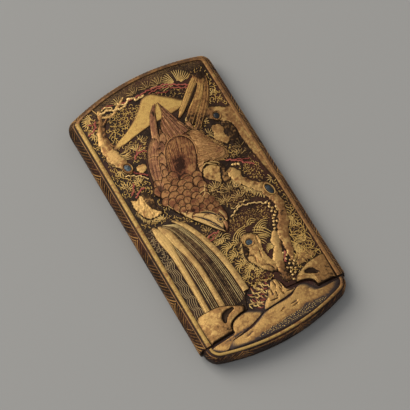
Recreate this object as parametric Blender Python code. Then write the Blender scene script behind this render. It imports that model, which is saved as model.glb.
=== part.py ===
"""A flat pocket case of lacquered tortoiseshell, lying on its back.

It has two halves. The long cover slips over a thin-walled neck that belongs to the short base, and the
two meet in a wavy joint that follows the rocks carved on the front. The front carries a low relief: a
mountain, a diving bird of prey, pine trunks, a waterfall and rocks inside a raised bead.

Frame: X across, +Y to the closed end of the cover, +Z out of the carved front, and the origin at the
middle of the outer box, on the surface that the back lies on. Units are metres.
"""
import math

import bmesh
import bpy
import numpy as np

# Overall form
WIDTH = 0.075
LENGTH = 0.1434
FAR_BOW = 0.0062
NEAR_BOW = 0.0078
FAR_CORNER = 0.0050
NEAR_CORNER = 0.0070
CROWN = 0.0020

# The edge, from the back up: a rolled edge, an upright band and the rolled shoulder of the front
BACK_ROLL = 0.0038
BACK_ROLL_WIDTH = 0.0046
SIDE_BAND = 0.0032
SHOULDER = 0.0033
SHOULDER_WIDTH = 0.0036

# Walls and fits
COVER_WALL = 0.0015
NECK_WALL = 0.0010
FIT_GAP = 0.0003
BASE_INSET = 0.0014
BASE_STEP = 0.0008
MOUTH_SPACE = 0.0060

# The joint: how much of the side the base shows, and the lobes that its front pushes into the cover
BASE_SHOW = 0.01255
WIDE_LOBE_RISE = 0.0068
WIDE_LOBE_HALF = 0.0218
WIDE_LOBE_MIDDLE = 0.0016
TALL_LOBE_RISE = 0.0156
TALL_LOBE_HALF = 0.0106
TALL_LOBE_MIDDLE = 0.0005

# The carving
BEAD_WIDTH = 0.0022
BEAD_SIDE_INSET = 0.0038
BEAD_END_INSET = 0.0026
BEAD_HEIGHT = 0.0007
RELIEF = 0.0010
ROOT_DEPTH = 0.0005
INLAY_THICKNESS = 0.0006
KNOT_RIM = 0.0014

# Derived places
joint_y = -LENGTH / 2 + BASE_SHOW
neck_inset = COVER_WALL + FIT_GAP
hollow_inset = neck_inset + NECK_WALL
mouth_y = LENGTH / 2 - FAR_BOW - COVER_WALL - MOUTH_SPACE
band_top = BACK_ROLL + SIDE_BAND
thickness = band_top + SHOULDER + CROWN
split_z = BACK_ROLL + SIDE_BAND / 2
beyond = LENGTH


def new_collection(name):
    """A collection of that name, linked to the scene."""
    collection = bpy.data.collections.new(name)
    bpy.context.scene.collection.children.link(collection)
    return collection


for old in list(bpy.data.objects):
    bpy.data.objects.remove(old)
parts = new_collection("tortoiseshell case")
tools = new_collection("cutters")
cover_carving = new_collection("cover carving")
base_carving = new_collection("base carving")
knot_cutters = new_collection("knot cutters")


def add_mesh(name, verts, faces, collection, guide):
    """A closed mesh object; a guide is only cut with or joined, never built on its own."""
    bm = bmesh.new()
    made = [bm.verts.new(v) for v in verts]
    for face in faces:
        bm.faces.new([made[i] for i in face])
    bmesh.ops.recalc_face_normals(bm, faces=bm.faces)
    mesh = bpy.data.meshes.new(name)
    bm.to_mesh(mesh)
    bm.free()
    thing = bpy.data.objects.new(name, mesh)
    collection.objects.link(thing)
    if guide:
        thing.hide_render = True
        thing.display_type = "WIRE"
    return thing


def add_material(name, colour, roughness, metallic):
    """A Principled material of one colour."""
    material = bpy.data.materials.new(name)
    material.use_nodes = True
    shader = material.node_tree.nodes["Principled BSDF"]
    shader.inputs["Base Color"].default_value = (*colour, 1.0)
    shader.inputs["Roughness"].default_value = roughness
    shader.inputs["Metallic"].default_value = metallic
    return material


def combine(target, other, operation):
    """Join or cut target with another object, or with every object of a collection."""
    modifier = target.modifiers.new(operation.lower(), "BOOLEAN")
    modifier.operation = operation
    modifier.solver = "EXACT"
    if isinstance(other, bpy.types.Collection):
        modifier.operand_type = "COLLECTION"
        modifier.collection = other
    else:
        modifier.object = other


# The outer form

def end_curve(far, inset):
    """Plan points round one end, right to left at the far end and left to right at the near one.

    A shallow parabola of centres is carried out along its own normal by the corner radius, less the
    inset, so every inset gives a parallel curve.
    """
    corner = FAR_CORNER if far else NEAR_CORNER + BASE_INSET
    bow = FAR_BOW if far else NEAR_BOW
    tip = LENGTH / 2 if far else LENGTH / 2 + BASE_INSET
    half = WIDTH / 2
    across = np.linspace(half - corner, corner - half, 11)
    centres = np.stack([across, tip - corner - bow * (across / half) ** 2], 1)
    turn = np.arctan2(np.ones_like(across), 2 * bow * across / half ** 2)
    first_arc = np.linspace(0.0, turn[0], 4)[:-1]
    last_arc = np.linspace(turn[-1], math.pi, 4)[1:]
    angles = np.concatenate([first_arc, turn, last_arc])
    middles = np.concatenate([np.repeat(centres[:1], 3, 0), centres, np.repeat(centres[-1:], 3, 0)])
    points = middles + (corner - inset) * np.stack([np.cos(angles), np.sin(angles)], 1)
    return points if far else -points


def plan_outline(inset):
    """The whole plan outline at an inset, anticlockwise from the right of the far end."""
    return np.concatenate([end_curve(True, inset), end_curve(False, inset)])


def crown_rise(x):
    """The front's swell above its shoulders, a parabola across the width."""
    return CROWN * (1 - (2 * x / WIDTH) ** 2)


def case_form(name, inset, step, collection):
    """The case as a solid block, drawn in by an inset in plan and by a step at the front and the back."""
    turns = np.linspace(0.0, math.pi / 2, 4)
    rings = []
    for turn in turns:
        ring = plan_outline(inset + (BACK_ROLL_WIDTH - inset) * (1 - math.sin(turn)))
        height = BACK_ROLL - (BACK_ROLL - step) * math.cos(turn)
        rings.append(np.column_stack([ring, np.full(len(ring), height)]))
    for turn in turns:
        ring = plan_outline(inset + (SHOULDER_WIDTH - inset) * (1 - math.cos(turn)))
        height = band_top + (SHOULDER - step) * math.sin(turn) + crown_rise(ring[:, 0])
        rings.append(np.column_stack([ring, height]))
    count = len(rings[0])
    verts = np.concatenate(rings)
    faces = []
    for level in range(len(rings) - 1):
        low = level * count
        for i in range(count):
            j = (i + 1) % count
            faces.append((low + i, low + j, low + count + j, low + count + i))
    faces.append(tuple(range(count)))
    top = (len(rings) - 1) * count
    for i in range(count // 2 - 1):
        far = top + i
        near = top + count - 1 - i
        faces.append((far, far + 1, near - 1, near))
    return add_mesh(name, verts, faces, collection, collection is not parts)


def cover_front(x, y):
    """Height of the cover's plain front at a point, with its rolled shoulder."""
    side = WIDTH / 2 - np.abs(x)
    end = LENGTH / 2 - FAR_BOW * (2 * x / WIDTH) ** 2 - y
    reach = np.clip(np.minimum(side, end) / SHOULDER_WIDTH, 0.0, 1.0)
    return band_top + SHOULDER * np.sqrt(1 - (1 - reach) ** 2) + crown_rise(x)


def base_front(x, y):
    """Height of the base's plain front, lower by its step and drawn in by its inset."""
    side = WIDTH / 2 - BASE_INSET - np.abs(x)
    end = y + LENGTH / 2 - NEAR_BOW * (2 * x / WIDTH) ** 2
    reach = np.clip(np.minimum(side, end) / (SHOULDER_WIDTH - BASE_INSET), 0.0, 1.0)
    return band_top + (SHOULDER - BASE_STEP) * np.sqrt(1 - (1 - reach) ** 2) + crown_rise(x)


# The joint line

def lobe(x, middle, half, rise, squareness):
    """A flat-topped lobe: rise times the root of one minus the offset to a power."""
    offset = np.clip(np.abs(x - middle) / half, 0.0, 1.0)
    return rise * (1 - offset ** squareness) ** (1 / squareness)


def joint_line(gap):
    """The wavy front joint from left to right, moved towards the base by a gap along its normal."""
    wide_turn = np.linspace(math.pi, 0.0, 19)
    tall_turn = np.linspace(math.pi, 0.0, 15)
    x = np.concatenate([
        WIDE_LOBE_MIDDLE + WIDE_LOBE_HALF * np.cos(wide_turn) * 0.9999,
        TALL_LOBE_MIDDLE + TALL_LOBE_HALF * np.cos(tall_turn) * 0.9999,
        (-WIDTH / 2, WIDTH / 2)])
    x = np.sort(x)
    rise = np.maximum(lobe(x, WIDE_LOBE_MIDDLE, WIDE_LOBE_HALF, WIDE_LOBE_RISE, 3.2),
                      lobe(x, TALL_LOBE_MIDDLE, TALL_LOBE_HALF, TALL_LOBE_RISE, 2.6))
    line = np.stack([x, joint_y + rise], 1)
    run = np.gradient(line, axis=0)
    run /= np.linalg.norm(run, axis=1)[:, None]
    return line + gap * np.stack([run[:, 1], -run[:, 0]], 1)


def joint_cutter(name, gap, toward_base):
    """An upright prism over all of the front on one side of the joint line."""
    line = joint_line(gap)
    line[0, 0] = -WIDTH
    line[-1, 0] = WIDTH
    end = -beyond if toward_base else beyond
    outline = np.concatenate([line, [(WIDTH, end), (-WIDTH, end)]])
    count = len(outline)
    low = np.column_stack([outline, np.full(count, split_z)])
    high = np.column_stack([outline, np.full(count, beyond)])
    faces = [(i, (i + 1) % count, count + (i + 1) % count, count + i) for i in range(count)]
    faces += [tuple(range(count)), tuple(range(count, 2 * count))]
    return add_mesh(name, np.concatenate([low, high]), faces, tools, True)


def box_cutter(name, y_from, y_to, z_to):
    """A block wider than the case between two lengthwise places, from far below up to a height."""
    bpy.ops.mesh.primitive_cube_add(size=1.0)
    box = bpy.context.object
    box.name = name
    box.scale = (2 * WIDTH, y_to - y_from, z_to + beyond)
    box.location = (0.0, (y_from + y_to) / 2, (z_to - beyond) / 2)
    bpy.ops.object.transform_apply(location=False, rotation=False, scale=True)
    for owner in list(box.users_collection):
        owner.objects.unlink(box)
    tools.objects.link(box)
    box.hide_render = True
    box.display_type = "WIRE"
    return box


# Carving tools

def place(points):
    """Drawing points on the front: hundredths of the half width across and of the half length along."""
    return np.array(points, float) * (WIDTH / 200, LENGTH / 200)


def place_at_joint(points):
    """Drawing points near the joint: hundredths of the half width, and of the tall lobe above the joint."""
    return np.array(points, float) * (WIDTH / 200, TALL_LOBE_RISE / 100) + (0.0, joint_y)


def smooth(points, steps, closed):
    """A Catmull-Rom curve through the points, with so many steps to a span."""
    points = np.asarray(points, float)
    if closed:
        padded = np.concatenate([points[-1:], points, points[:2]])
    else:
        first = 2 * points[:1] - points[1:2]
        last = 2 * points[-1:] - points[-2:-1]
        padded = np.concatenate([first, points, last])
    spans = len(padded) - 3
    t = np.linspace(0.0, 1.0, steps, endpoint=False)[:, None]
    out = []
    for i in range(spans):
        p0, p1, p2, p3 = padded[i:i + 4]
        out.append(0.5 * (2 * p1 + (p2 - p0) * t + (2 * p0 - 5 * p1 + 4 * p2 - p3) * t ** 2
                          + (3 * p1 - p0 - 3 * p2 + p3) * t ** 3))
    out = np.concatenate(out)
    return out if closed else np.concatenate([out, points[-1:]])


def boss(name, outline, height, front, collection, flat=0.55, steps=2):
    """A raised shape inside a closed outline: a short steep edge, then a dome towards its middle."""
    edge = smooth(outline, steps, True)
    middle = edge.mean(0)
    count = len(edge)
    rings = ((1.0, None), (1.0, 0.35 * height), (0.9, (0.35 + 0.65 * flat) * height), (0.5, height))
    verts = []
    for share, rise in rings:
        ring = middle + (edge - middle) * share
        lift = -ROOT_DEPTH if rise is None else rise
        verts.append(np.column_stack([ring, front(ring[:, 0], ring[:, 1]) + lift]))
    verts = np.concatenate(verts + [[(*middle, front(*middle) + height)]])
    faces = [tuple(range(count))]
    for level in range(len(rings) - 1):
        low = level * count
        faces += [(low + i, low + (i + 1) % count, low + count + (i + 1) % count, low + count + i)
                  for i in range(count)]
    top = (len(rings) - 1) * count
    faces += [(top + i, top + (i + 1) % count, len(verts) - 1) for i in range(count)]
    return add_mesh(name, verts, faces, collection, True)


def strand(name, path, widths, height, front, collection, steps=2):
    """A raised ridge along a path: an arched section, as wide as the widths say at its points."""
    stations = smooth(np.column_stack([path, widths]), steps, False)
    centres = stations[:, :2]
    half = np.maximum(stations[:, 2:] / 2, BEAD_WIDTH / 16)
    run = np.gradient(centres, axis=0)
    run /= np.linalg.norm(run, axis=1)[:, None]
    side = np.stack([run[:, 1], -run[:, 0]], 1)
    section = ((-1.0, None), (-1.0, 0.2), (-0.5, 0.85), (0.0, 1.0), (0.5, 0.85), (1.0, 0.2), (1.0, None))
    columns = []
    for offset, rise in section:
        points = centres + side * half * offset
        lift = -ROOT_DEPTH if rise is None else rise * height
        columns.append(np.column_stack([points, front(points[:, 0], points[:, 1]) + lift]))
    verts = np.stack(columns, 1).reshape(-1, 3)
    count = len(section)
    faces = [tuple(range(count)), tuple(range(len(verts) - count, len(verts)))]
    for station in range(len(centres) - 1):
        low = station * count
        faces += [(low + i, low + (i + 1) % count, low + count + (i + 1) % count, low + count + i)
                  for i in range(count)]
    return add_mesh(name, verts, faces, collection, True)


def between(first, second, share):
    """A path part of the way from one path to another."""
    return first + (second - first) * share


# The cover's carving

def carve_landscape():
    """The mountain, the trunks and the rocks of the cover."""
    front, into = cover_front, cover_carving
    mountain = place([(-66, 60.5), (-48, 66), (-28, 71.5), (-12, 78), (-2, 83), (9, 83.5), (20, 79.5),
                      (34, 73), (47, 66.5), (26, 64.5), (0, 64), (-33, 62)])
    boss("mountain", mountain, 0.35 * RELIEF, front, into, flat=0.9)
    left_trunk = place([(-58, 90), (-66, 82), (-72, 72), (-69, 61), (-67, 52), (-62, 45), (-60, 39)])
    strand("left trunk", left_trunk, np.array([4, 5, 8, 14, 13, 14, 7]) * WIDTH / 200,
           0.7 * RELIEF, front, into, steps=1)
    right_trunk = place([(60, 57), (67, 49), (73, 40), (79, 29), (84, 17), (86, 6)])
    strand("right trunk", right_trunk, np.array([8, 20, 22, 16, 10, 5]) * WIDTH / 200,
           0.7 * RELIEF, front, into, steps=1)
    gold_bough = place([(55, 43), (65, 43.5), (63, 34), (65, 30), (58, 28), (50, 35)])
    boss("gold bough", gold_bough, 0.5 * RELIEF, front, into)
    lower_trunk = place([(42, 10), (47, 4), (56, -3), (66, -8), (75, -13), (77, -22), (72, -32), (61, -40),
                         (49, -46), (40, -52), (35, -60)])
    strand("lower trunk", lower_trunk, np.array([9, 12, 12, 14, 15, 12, 12, 15, 16, 15, 13]) * WIDTH / 200,
           0.8 * RELIEF, front, into, steps=1)
    rocks = (
        ("perch", 0.55, [(13, 18), (20, 21), (31, 21.5), (36, 18.5), (34, 13), (29, 6.5), (22, 9.5), (14, 13)]),
        ("side rock", 0.6, [(-79, 26.5), (-70, 26), (-61, 24.5), (-54, 15), (-54, 8), (-66, 7.5), (-79, 13)]),
        ("low rock", 0.75, [(11, -30.5), (22, -30), (31, -35), (29, -44), (30, -54), (31, -61), (21, -61),
                            (9, -53), (2, -46), (10, -41)]))
    for name, height, outline in rocks:
        boss(name, place(outline), height * RELIEF, front, into)
    boughs = (
        ("red bough", 3, [(-30, 86), (-10, 85), (20, 83.5), (42, 80), (62, 75)]),
        ("gold bough", 3, [(-58, 84), (-42, 83), (-28, 83), (-16, 85)]),
        ("low bough", 3, [(14, -16), (26, -13.5), (42, -13.5), (54, -17), (64, -18)]),
        ("side bough", 3, [(-66, 41), (-56, 37), (-44, 32)]),
        ("high bough", 2.5, [(46, 20), (60, 15), (75, 9)]))
    for name, width, path in boughs:
        strand(name, place(path), np.full(len(path), width) * WIDTH / 200, 0.45 * RELIEF, front, into, steps=1)
    joint_rocks = (
        ("left joint rock", [(-84, 92), (-66, 96), (-48, 90), (-28, 52), (-38, 20), (-62, -14), (-84, -14)]),
        ("right joint rock", [(40, 50), (54, 70), (70, 82), (89, 84), (89, -14), (70, -14), (54, 25)]))
    for name, outline in joint_rocks:
        boss(name, place_at_joint(outline), 1.1 * RELIEF, front, into, flat=0.75)


def carve_bird():
    """The bird of prey: folded wings, tail and thigh first, then the body and head over them."""
    front, into = cover_front, cover_carving
    unit = WIDTH / 200
    tail = place([(28, 47), (44, 58), (62, 69), (79, 82)])
    for spread, lift in ((-1, 0.75), (0, 0.9), (1, 0.75)):
        fan = np.array([(2, -3), (3, -4), (3, -4), (1, -2)]) * (unit, LENGTH / 200)
        strand("tail feather", tail + fan * spread, np.array([9, 11, 11, 4]) * unit,
               lift * RELIEF, front, into, steps=1)
    strand("left primary", place([(-23, 46), (-13, 58), (-3, 68), (8, 76)]),
           np.array([11, 10, 7, 1]) * unit, 0.95 * RELIEF, front, into)
    strand("right primary", place([(16, 44), (17, 55), (15, 65), (11.5, 76)]),
           np.array([13, 12, 8, 1]) * unit, 0.95 * RELIEF, front, into)
    strand("middle primary", place([(4, 46), (7, 58), (8, 68)]),
           np.array([12, 11, 2]) * unit, 0.75 * RELIEF, front, into)
    thigh = place([(26, 47), (39, 44), (42, 37), (50, 31), (54, 25), (49, 21), (37, 22.5), (26, 25), (12, 20),
                   (15, 30), (22, 39)])
    boss("thigh", thigh, 0.8 * RELIEF, front, into)
    body = place([(-13, 55), (-30, 50), (-41, 40), (-46, 28), (-44, 15), (-37, 4), (-22, -3), (-4, -2), (2, 8),
                  (12, 20), (22, 33), (24, 47), (8, 55)])
    boss("body", body, 1.0 * RELIEF, front, into, flat=0.7)
    mantle = place([(-17, 36), (-13, 44), (-2, 48.5), (12, 48.5), (23, 43), (21, 34), (11, 23), (-2, 19),
                    (-14, 24)])
    boss("mantle", mantle, 1.3 * RELIEF, front, into)
    for row in range(5):
        for column in range(3):
            root = np.array((-33 + 2 * row + 13 * column + 5 * (row % 2), 21 - 5.5 * row + column))
            covert = place([root, root + (-1, 3), root + (-2, 6), root + (-3, 7.5)])
            strand("covert", covert, np.array([9, 13, 11, 5]) * unit, 1.35 * RELIEF, front, into, steps=1)
    head = place([(-24, -3), (-17, -8), (-8, -14.5), (2, -21.5), (6, -18.5), (12, -16.5), (14.5, -10),
                  (13, -4), (4, 1), (-12, 2)])
    boss("head", head, 1.15 * RELIEF, front, into, flat=0.7)
    beak = place([(1, -15), (3, -19), (1.5, -22.5)])
    strand("beak", beak, np.array([7, 5, 1]) * unit, 1.35 * RELIEF, front, into, steps=1)
    for foot in ([(22, 57), (25, 53), (28, 49)], [(33, 53.5), (32, 50), (30, 46)],
                 [(8, 9), (1, 7.5), (-5, 3.5)], [(8, 9), (7, 5), (1, 3)]):
        strand("toe", place(foot), np.array([3, 4, 3]) * unit, 0.9 * RELIEF, front, into, steps=1)


def carve_waterfall():
    """Two broad outer tongues of water and one split one, with thin threads run between them."""
    front, into = cover_front, cover_carving
    unit = WIDTH / 200
    outer = place([(-73, 1), (-70, -11), (-68, -28), (-68, -45), (-68, -62)])
    inner = place([(-67, 1), (-59, -11), (-53, -25), (-50, -42), (-50, -62)])
    right = place([(-49, 0), (-37, -8), (-26, -19), (-19, -37), (-12, -63)])
    for name, path in (("outer tongue", outer), ("inner tongue", inner), ("right tongue", right)):
        strand(name, path, np.array([6, 8, 7.5, 7, 6.5]) * unit, 0.8 * RELIEF, front, into)
    for share in (0.25, 0.5, 0.75):
        strand("thread", between(inner, right, share), np.full(5, 2.2) * unit, 0.45 * RELIEF, front, into)
    strand("left thread", between(outer, inner, 0.5), np.full(5, 2.2) * unit, 0.45 * RELIEF, front, into)


def bead_path(far, edge_inset):
    """Plan points of a bead: one end's curve at the bead's end inset, drawn in to its side inset."""
    end = end_curve(far, edge_inset + BEAD_END_INSET)
    side_x = WIDTH / 2 - edge_inset - BEAD_SIDE_INSET
    end[:, 0] *= side_x / np.abs(end[:, 0]).max()
    overrun = -BASE_SHOW / 2 if far else BASE_SHOW / 2
    return np.concatenate([[(end[0, 0], joint_y + overrun)], end, [(end[-1, 0], joint_y + overrun)]])


def carve_cover_bead():
    """The raised bead round the cover's front, from the joint up one side, over the end and down."""
    path = bead_path(True, 0.0)
    strand("cover bead", path, np.full(len(path), BEAD_WIDTH), BEAD_HEIGHT, cover_front, cover_carving, steps=1)


# The base's carving

def carve_base():
    """The base's bead, the long rock, two smaller ones, and the water between them."""
    front, into = base_front, base_carving
    unit = WIDTH / 200
    path = bead_path(False, BASE_INSET)
    strand("base bead", path, np.full(len(path), BEAD_WIDTH), BEAD_HEIGHT, front, into, steps=1)
    long_rock = place_at_joint([(-68, -18), (-40, -8), (-13, 6), (8, 12), (26, 20), (40, 33), (54, 34),
                                (64, 4), (74, -10), (50, -24), (12, -34), (-28, -34), (-54, -30)])
    boss("long rock", long_rock, 0.8 * RELIEF, front, into)
    left_rock = place_at_joint([(-54, 2), (-52, 26), (-45, 42), (-32, 46), (-21, 34), (-11, 18), (-28, 2),
                                (-44, -8)])
    boss("base left rock", left_rock, 0.6 * RELIEF, front, into)
    crag = place_at_joint([(-8, 16), (2, 34), (10, 52), (14, 80), (20, 88), (25, 66), (30, 42), (40, 32),
                           (22, 18)])
    boss("crag", crag, 0.6 * RELIEF, front, into)
    for row in range(5):
        across = -16 + 5 * row
        along = 42 + 12 * row
        wave = place_at_joint([(across - 5, along + 8), (across + 2, along), (across + 8, along - 12)])
        strand("wave", wave, np.array([1, 4, 1]) * unit, 0.4 * RELIEF, front, into, steps=1)


# Shell inlays in the knot-holes

def add_disc(name, centre, half_axes, turn, low, high, collection, material):
    """An upright oval disc, turned in plan and tilted to lie along the crowned front."""
    x, y = centre
    bpy.ops.mesh.primitive_cylinder_add(vertices=20, radius=1.0, depth=1.0)
    disc = bpy.context.object
    disc.name = name
    disc.scale = (*half_axes, high - low)
    bpy.ops.object.transform_apply(location=False, rotation=False, scale=True)
    slope = math.atan(8 * CROWN * x / WIDTH ** 2)
    disc.rotation_euler = (0.0, slope, turn)
    disc.rotation_mode = "ZYX"
    disc.location = (x, y, cover_front(x, y) + (low + high) / 2)
    for owner in list(disc.users_collection):
        owner.objects.unlink(disc)
    collection.objects.link(disc)
    if material is None:
        disc.hide_render = True
        disc.display_type = "WIRE"
    else:
        disc.data.materials.append(material)


def oval(centre, half_axes, turn, count=9):
    """Points round an oval: its two half axes, turned in plan."""
    angles = np.linspace(0.0, 2 * math.pi, count, endpoint=False)
    across = half_axes[0] * np.cos(angles)
    along = half_axes[1] * np.sin(angles)
    return np.stack([centre[0] + across * math.cos(turn) - along * math.sin(turn),
                     centre[1] + across * math.sin(turn) + along * math.cos(turn)], 1)


def set_inlays(material):
    """Four oval plates of shell, each in a pocket with a gap below and round it, in a knot's raised rim."""
    knots = (("shell_inlay_left", (-62, 45.5), (0.0014, 0.0021), 0.35),
             ("shell_inlay_top", (67, 49), (0.0015, 0.0018), 0.0),
             ("shell_inlay_right", (74.5, -11.5), (0.0012, 0.0028), 0.25),
             ("shell_inlay_low", (18, -36.5), (0.0017, 0.0014), -0.3))
    for name, spot, half_axes, turn in knots:
        centre = place([spot])[0]
        high = 0.7 * RELIEF
        low = high - INLAY_THICKNESS
        pocket = [value + FIT_GAP for value in half_axes]
        rim = [value + KNOT_RIM for value in half_axes]
        boss(name + " rim", oval(centre, rim, turn), RELIEF, cover_front, cover_carving, flat=0.9)
        add_disc(name, centre, half_axes, turn, low, high, parts, material)
        add_disc(name + " pocket", centre, pocket, turn, low - FIT_GAP, high + RELIEF, knot_cutters, None)


def cut_rock_hollows():
    """The two dark slots in the rocks beside the joint."""
    for name, spot, half_axes, turn in (("left slot", (-50, 62), (0.0011, 0.0032), -0.9),
                                        ("right slot", (64, 52), (0.0010, 0.0028), 0.9)):
        centre = place_at_joint([spot])[0]
        add_disc(name, centre, half_axes, turn, 0.2 * RELIEF, 2 * RELIEF, knot_cutters, None)


# The two halves

def build_cover(material):
    """The long half: closed at the far end, hollow, with the carved front and the wavy lip."""
    carve_landscape()
    carve_bird()
    carve_waterfall()
    carve_cover_bead()
    cut_rock_hollows()
    cover = case_form("cover", 0.0, 0.0, parts)
    combine(cover, cover_carving, "UNION")
    combine(cover, case_form("cover hollow", COVER_WALL, COVER_WALL, tools), "DIFFERENCE")
    combine(cover, joint_cutter("below joint", 0.0, True), "DIFFERENCE")
    combine(cover, box_cutter("below side joint", -beyond, joint_y, split_z + FIT_GAP), "DIFFERENCE")
    combine(cover, knot_cutters, "DIFFERENCE")
    cover.data.materials.append(material)


def build_base(material):
    """The short half: the closed near end, its carved front, and the neck that the cover slips over."""
    carve_base()
    base = case_form("base", BASE_INSET, BASE_STEP, parts)
    combine(base, base_carving, "UNION")
    combine(base, joint_cutter("above joint", FIT_GAP, False), "DIFFERENCE")
    combine(base, box_cutter("above side joint", joint_y - FIT_GAP, beyond, split_z + FIT_GAP), "DIFFERENCE")
    combine(base, case_form("neck", neck_inset, neck_inset, tools), "UNION")
    combine(base, case_form("hollow", hollow_inset, hollow_inset, tools), "DIFFERENCE")
    combine(base, box_cutter("beyond mouth", mouth_y, beyond, beyond), "DIFFERENCE")
    base.data.materials.append(material)


gold_lacquer = add_material("gold lacquer", (0.34, 0.20, 0.075), 0.35, 0.55)
shell_lacquer = add_material("lacquered shell", (0.30, 0.17, 0.07), 0.35, 0.50)
blue_shell = add_material("blue shell", (0.16, 0.22, 0.26), 0.25, 0.10)
set_inlays(blue_shell)
build_cover(gold_lacquer)
build_base(shell_lacquer)
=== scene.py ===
"""Looks of the flat lacquered tortoiseshell case: its two shells, the raised gold bead and the picture.

Every raised thing on the front is a surface worked out from the drawing's own points, in drawing
millimetres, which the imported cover's width turns into metres.
"""
import math

import bmesh
import bpy
import numpy as np
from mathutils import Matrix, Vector


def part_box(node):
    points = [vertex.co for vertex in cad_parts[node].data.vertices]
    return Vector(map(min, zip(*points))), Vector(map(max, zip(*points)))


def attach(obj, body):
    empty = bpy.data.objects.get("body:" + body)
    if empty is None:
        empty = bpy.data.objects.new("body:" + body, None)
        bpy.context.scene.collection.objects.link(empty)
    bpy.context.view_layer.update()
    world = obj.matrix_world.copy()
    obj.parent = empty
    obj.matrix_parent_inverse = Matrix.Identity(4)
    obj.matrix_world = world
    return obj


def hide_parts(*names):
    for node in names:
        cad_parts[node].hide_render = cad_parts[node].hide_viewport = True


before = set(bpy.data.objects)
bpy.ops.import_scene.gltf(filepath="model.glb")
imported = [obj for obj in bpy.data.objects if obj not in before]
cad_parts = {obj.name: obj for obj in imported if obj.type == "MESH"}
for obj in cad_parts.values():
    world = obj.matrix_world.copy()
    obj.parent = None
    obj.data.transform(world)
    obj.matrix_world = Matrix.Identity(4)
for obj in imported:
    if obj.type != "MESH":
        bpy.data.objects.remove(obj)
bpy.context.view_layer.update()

# The stage: a plain pale table under one broad soft lamp from the upper left of the view, with a weak
# fill. The camera looks down at seventy degrees, turned thirty degrees from the case's length.
scene = bpy.context.scene
scene.view_settings.view_transform = "Standard"
cover_low, cover_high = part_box("cover")
MM = (cover_high.x - cover_low.x) / 75.0
TABLE_COLOUR = (0.280, 0.276, 0.265)
PHOTO_SIDE = 410
VIEW_TURN = math.radians(29.93)
VIEW_HEIGHT = math.radians(69.65)
VIEW_DISTANCE = 850 * MM
FOCAL_PIXELS = 1868
VIEW_CENTRE = (207.3, 204.1)
VIEW_TARGET = Vector((0.0, 0.0, 10 * MM))


def viewed_from(turn, height):
    """Unit vector to the viewer: turned left about the upright from the near end, raised by a height."""
    return Vector((-math.sin(turn) * math.cos(height), -math.cos(turn) * math.cos(height), math.sin(height)))


def aim(thing, target):
    """Turns an object so that its own -Z runs to the target and its +Y stays up."""
    thing.rotation_euler = (thing.location - target).to_track_quat("Z", "Y").to_euler()


camera = bpy.data.objects.new("camera", bpy.data.cameras.new("camera"))
scene.collection.objects.link(camera)
camera.location = VIEW_TARGET + viewed_from(VIEW_TURN, VIEW_HEIGHT) * VIEW_DISTANCE
aim(camera, VIEW_TARGET)
camera.data.sensor_width = 36.0
camera.data.lens = 36.0 * FOCAL_PIXELS / PHOTO_SIDE
camera.data.shift_x = -(VIEW_CENTRE[0] - PHOTO_SIDE / 2) / PHOTO_SIDE
camera.data.shift_y = (VIEW_CENTRE[1] - PHOTO_SIDE / 2) / PHOTO_SIDE
camera.data.clip_start = 0.01
scene.camera = camera

bpy.ops.mesh.primitive_plane_add(size=6.0)
table = bpy.context.object
table.name = "table"
table_paint = bpy.data.materials.new("table")
table_paint.use_nodes = True
table_shader = table_paint.node_tree.nodes["Principled BSDF"]
table_shader.inputs["Base Color"].default_value = (*TABLE_COLOUR, 1.0)
table_shader.inputs["Roughness"].default_value = 0.85
table.data.materials.append(table_paint)


def add_lamp(name, turn, height, distance, size, power, colour):
    """A square soft lamp at a turn and height round the case, aimed at it."""
    data = bpy.data.lights.new(name, "AREA")
    data.shape = "SQUARE"
    data.size = size
    data.energy = power
    data.color = colour
    lamp = bpy.data.objects.new(name, data)
    scene.collection.objects.link(lamp)
    lamp.location = viewed_from(turn, height) * distance
    aim(lamp, Vector((0.0, 0.0, 0.0)))


add_lamp("key lamp", math.radians(150), math.radians(48), 3.0, 2.3, 86.0, (1.0, 0.965, 0.91))
add_lamp("fill lamp", math.radians(60), math.radians(60), 3.0, 2.0, 15.0, (0.94, 0.97, 1.0))

world = bpy.data.worlds.new("room")
scene.world = world
world.use_nodes = True
world.node_tree.nodes["Background"].inputs["Color"].default_value = (0.75, 0.76, 0.78, 1.0)
world.node_tree.nodes["Background"].inputs["Strength"].default_value = 0.5

# The case: two hollow halves pressed from tortoiseshell, flat behind, with rolled edges, a crowned front
# and bowed ends. The cover slips over the base's thin neck and its lip stands a little proud. Outside they
# are lacquered nearly black and sprinkled with gold dust; the neck and the inside are bare polished shell.
base_low, base_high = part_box("base")
HALF_WIDTH = 37.5 * MM
FAR_BOW = 6.2 * MM
NEAR_BOW = 7.8 * MM
FAR_CORNER = 5.0 * MM
NEAR_CORNER = 7.0 * MM
CROWN = 2.0 * MM
BACK_ROLL = 3.8 * MM
BACK_ROLL_WIDTH = 4.6 * MM
SIDE_BAND = 3.2 * MM
SHOULDER = 3.3 * MM
SHOULDER_WIDTH = 3.6 * MM
COVER_WALL = 1.5 * MM
NECK_WALL = 1.0 * MM
FIT_GAP = 0.3 * MM
BASE_INSET = HALF_WIDTH - base_high.x
BASE_STEP = base_low.z - cover_low.z
joint_y = cover_low.y
band_top = BACK_ROLL + SIDE_BAND


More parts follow.
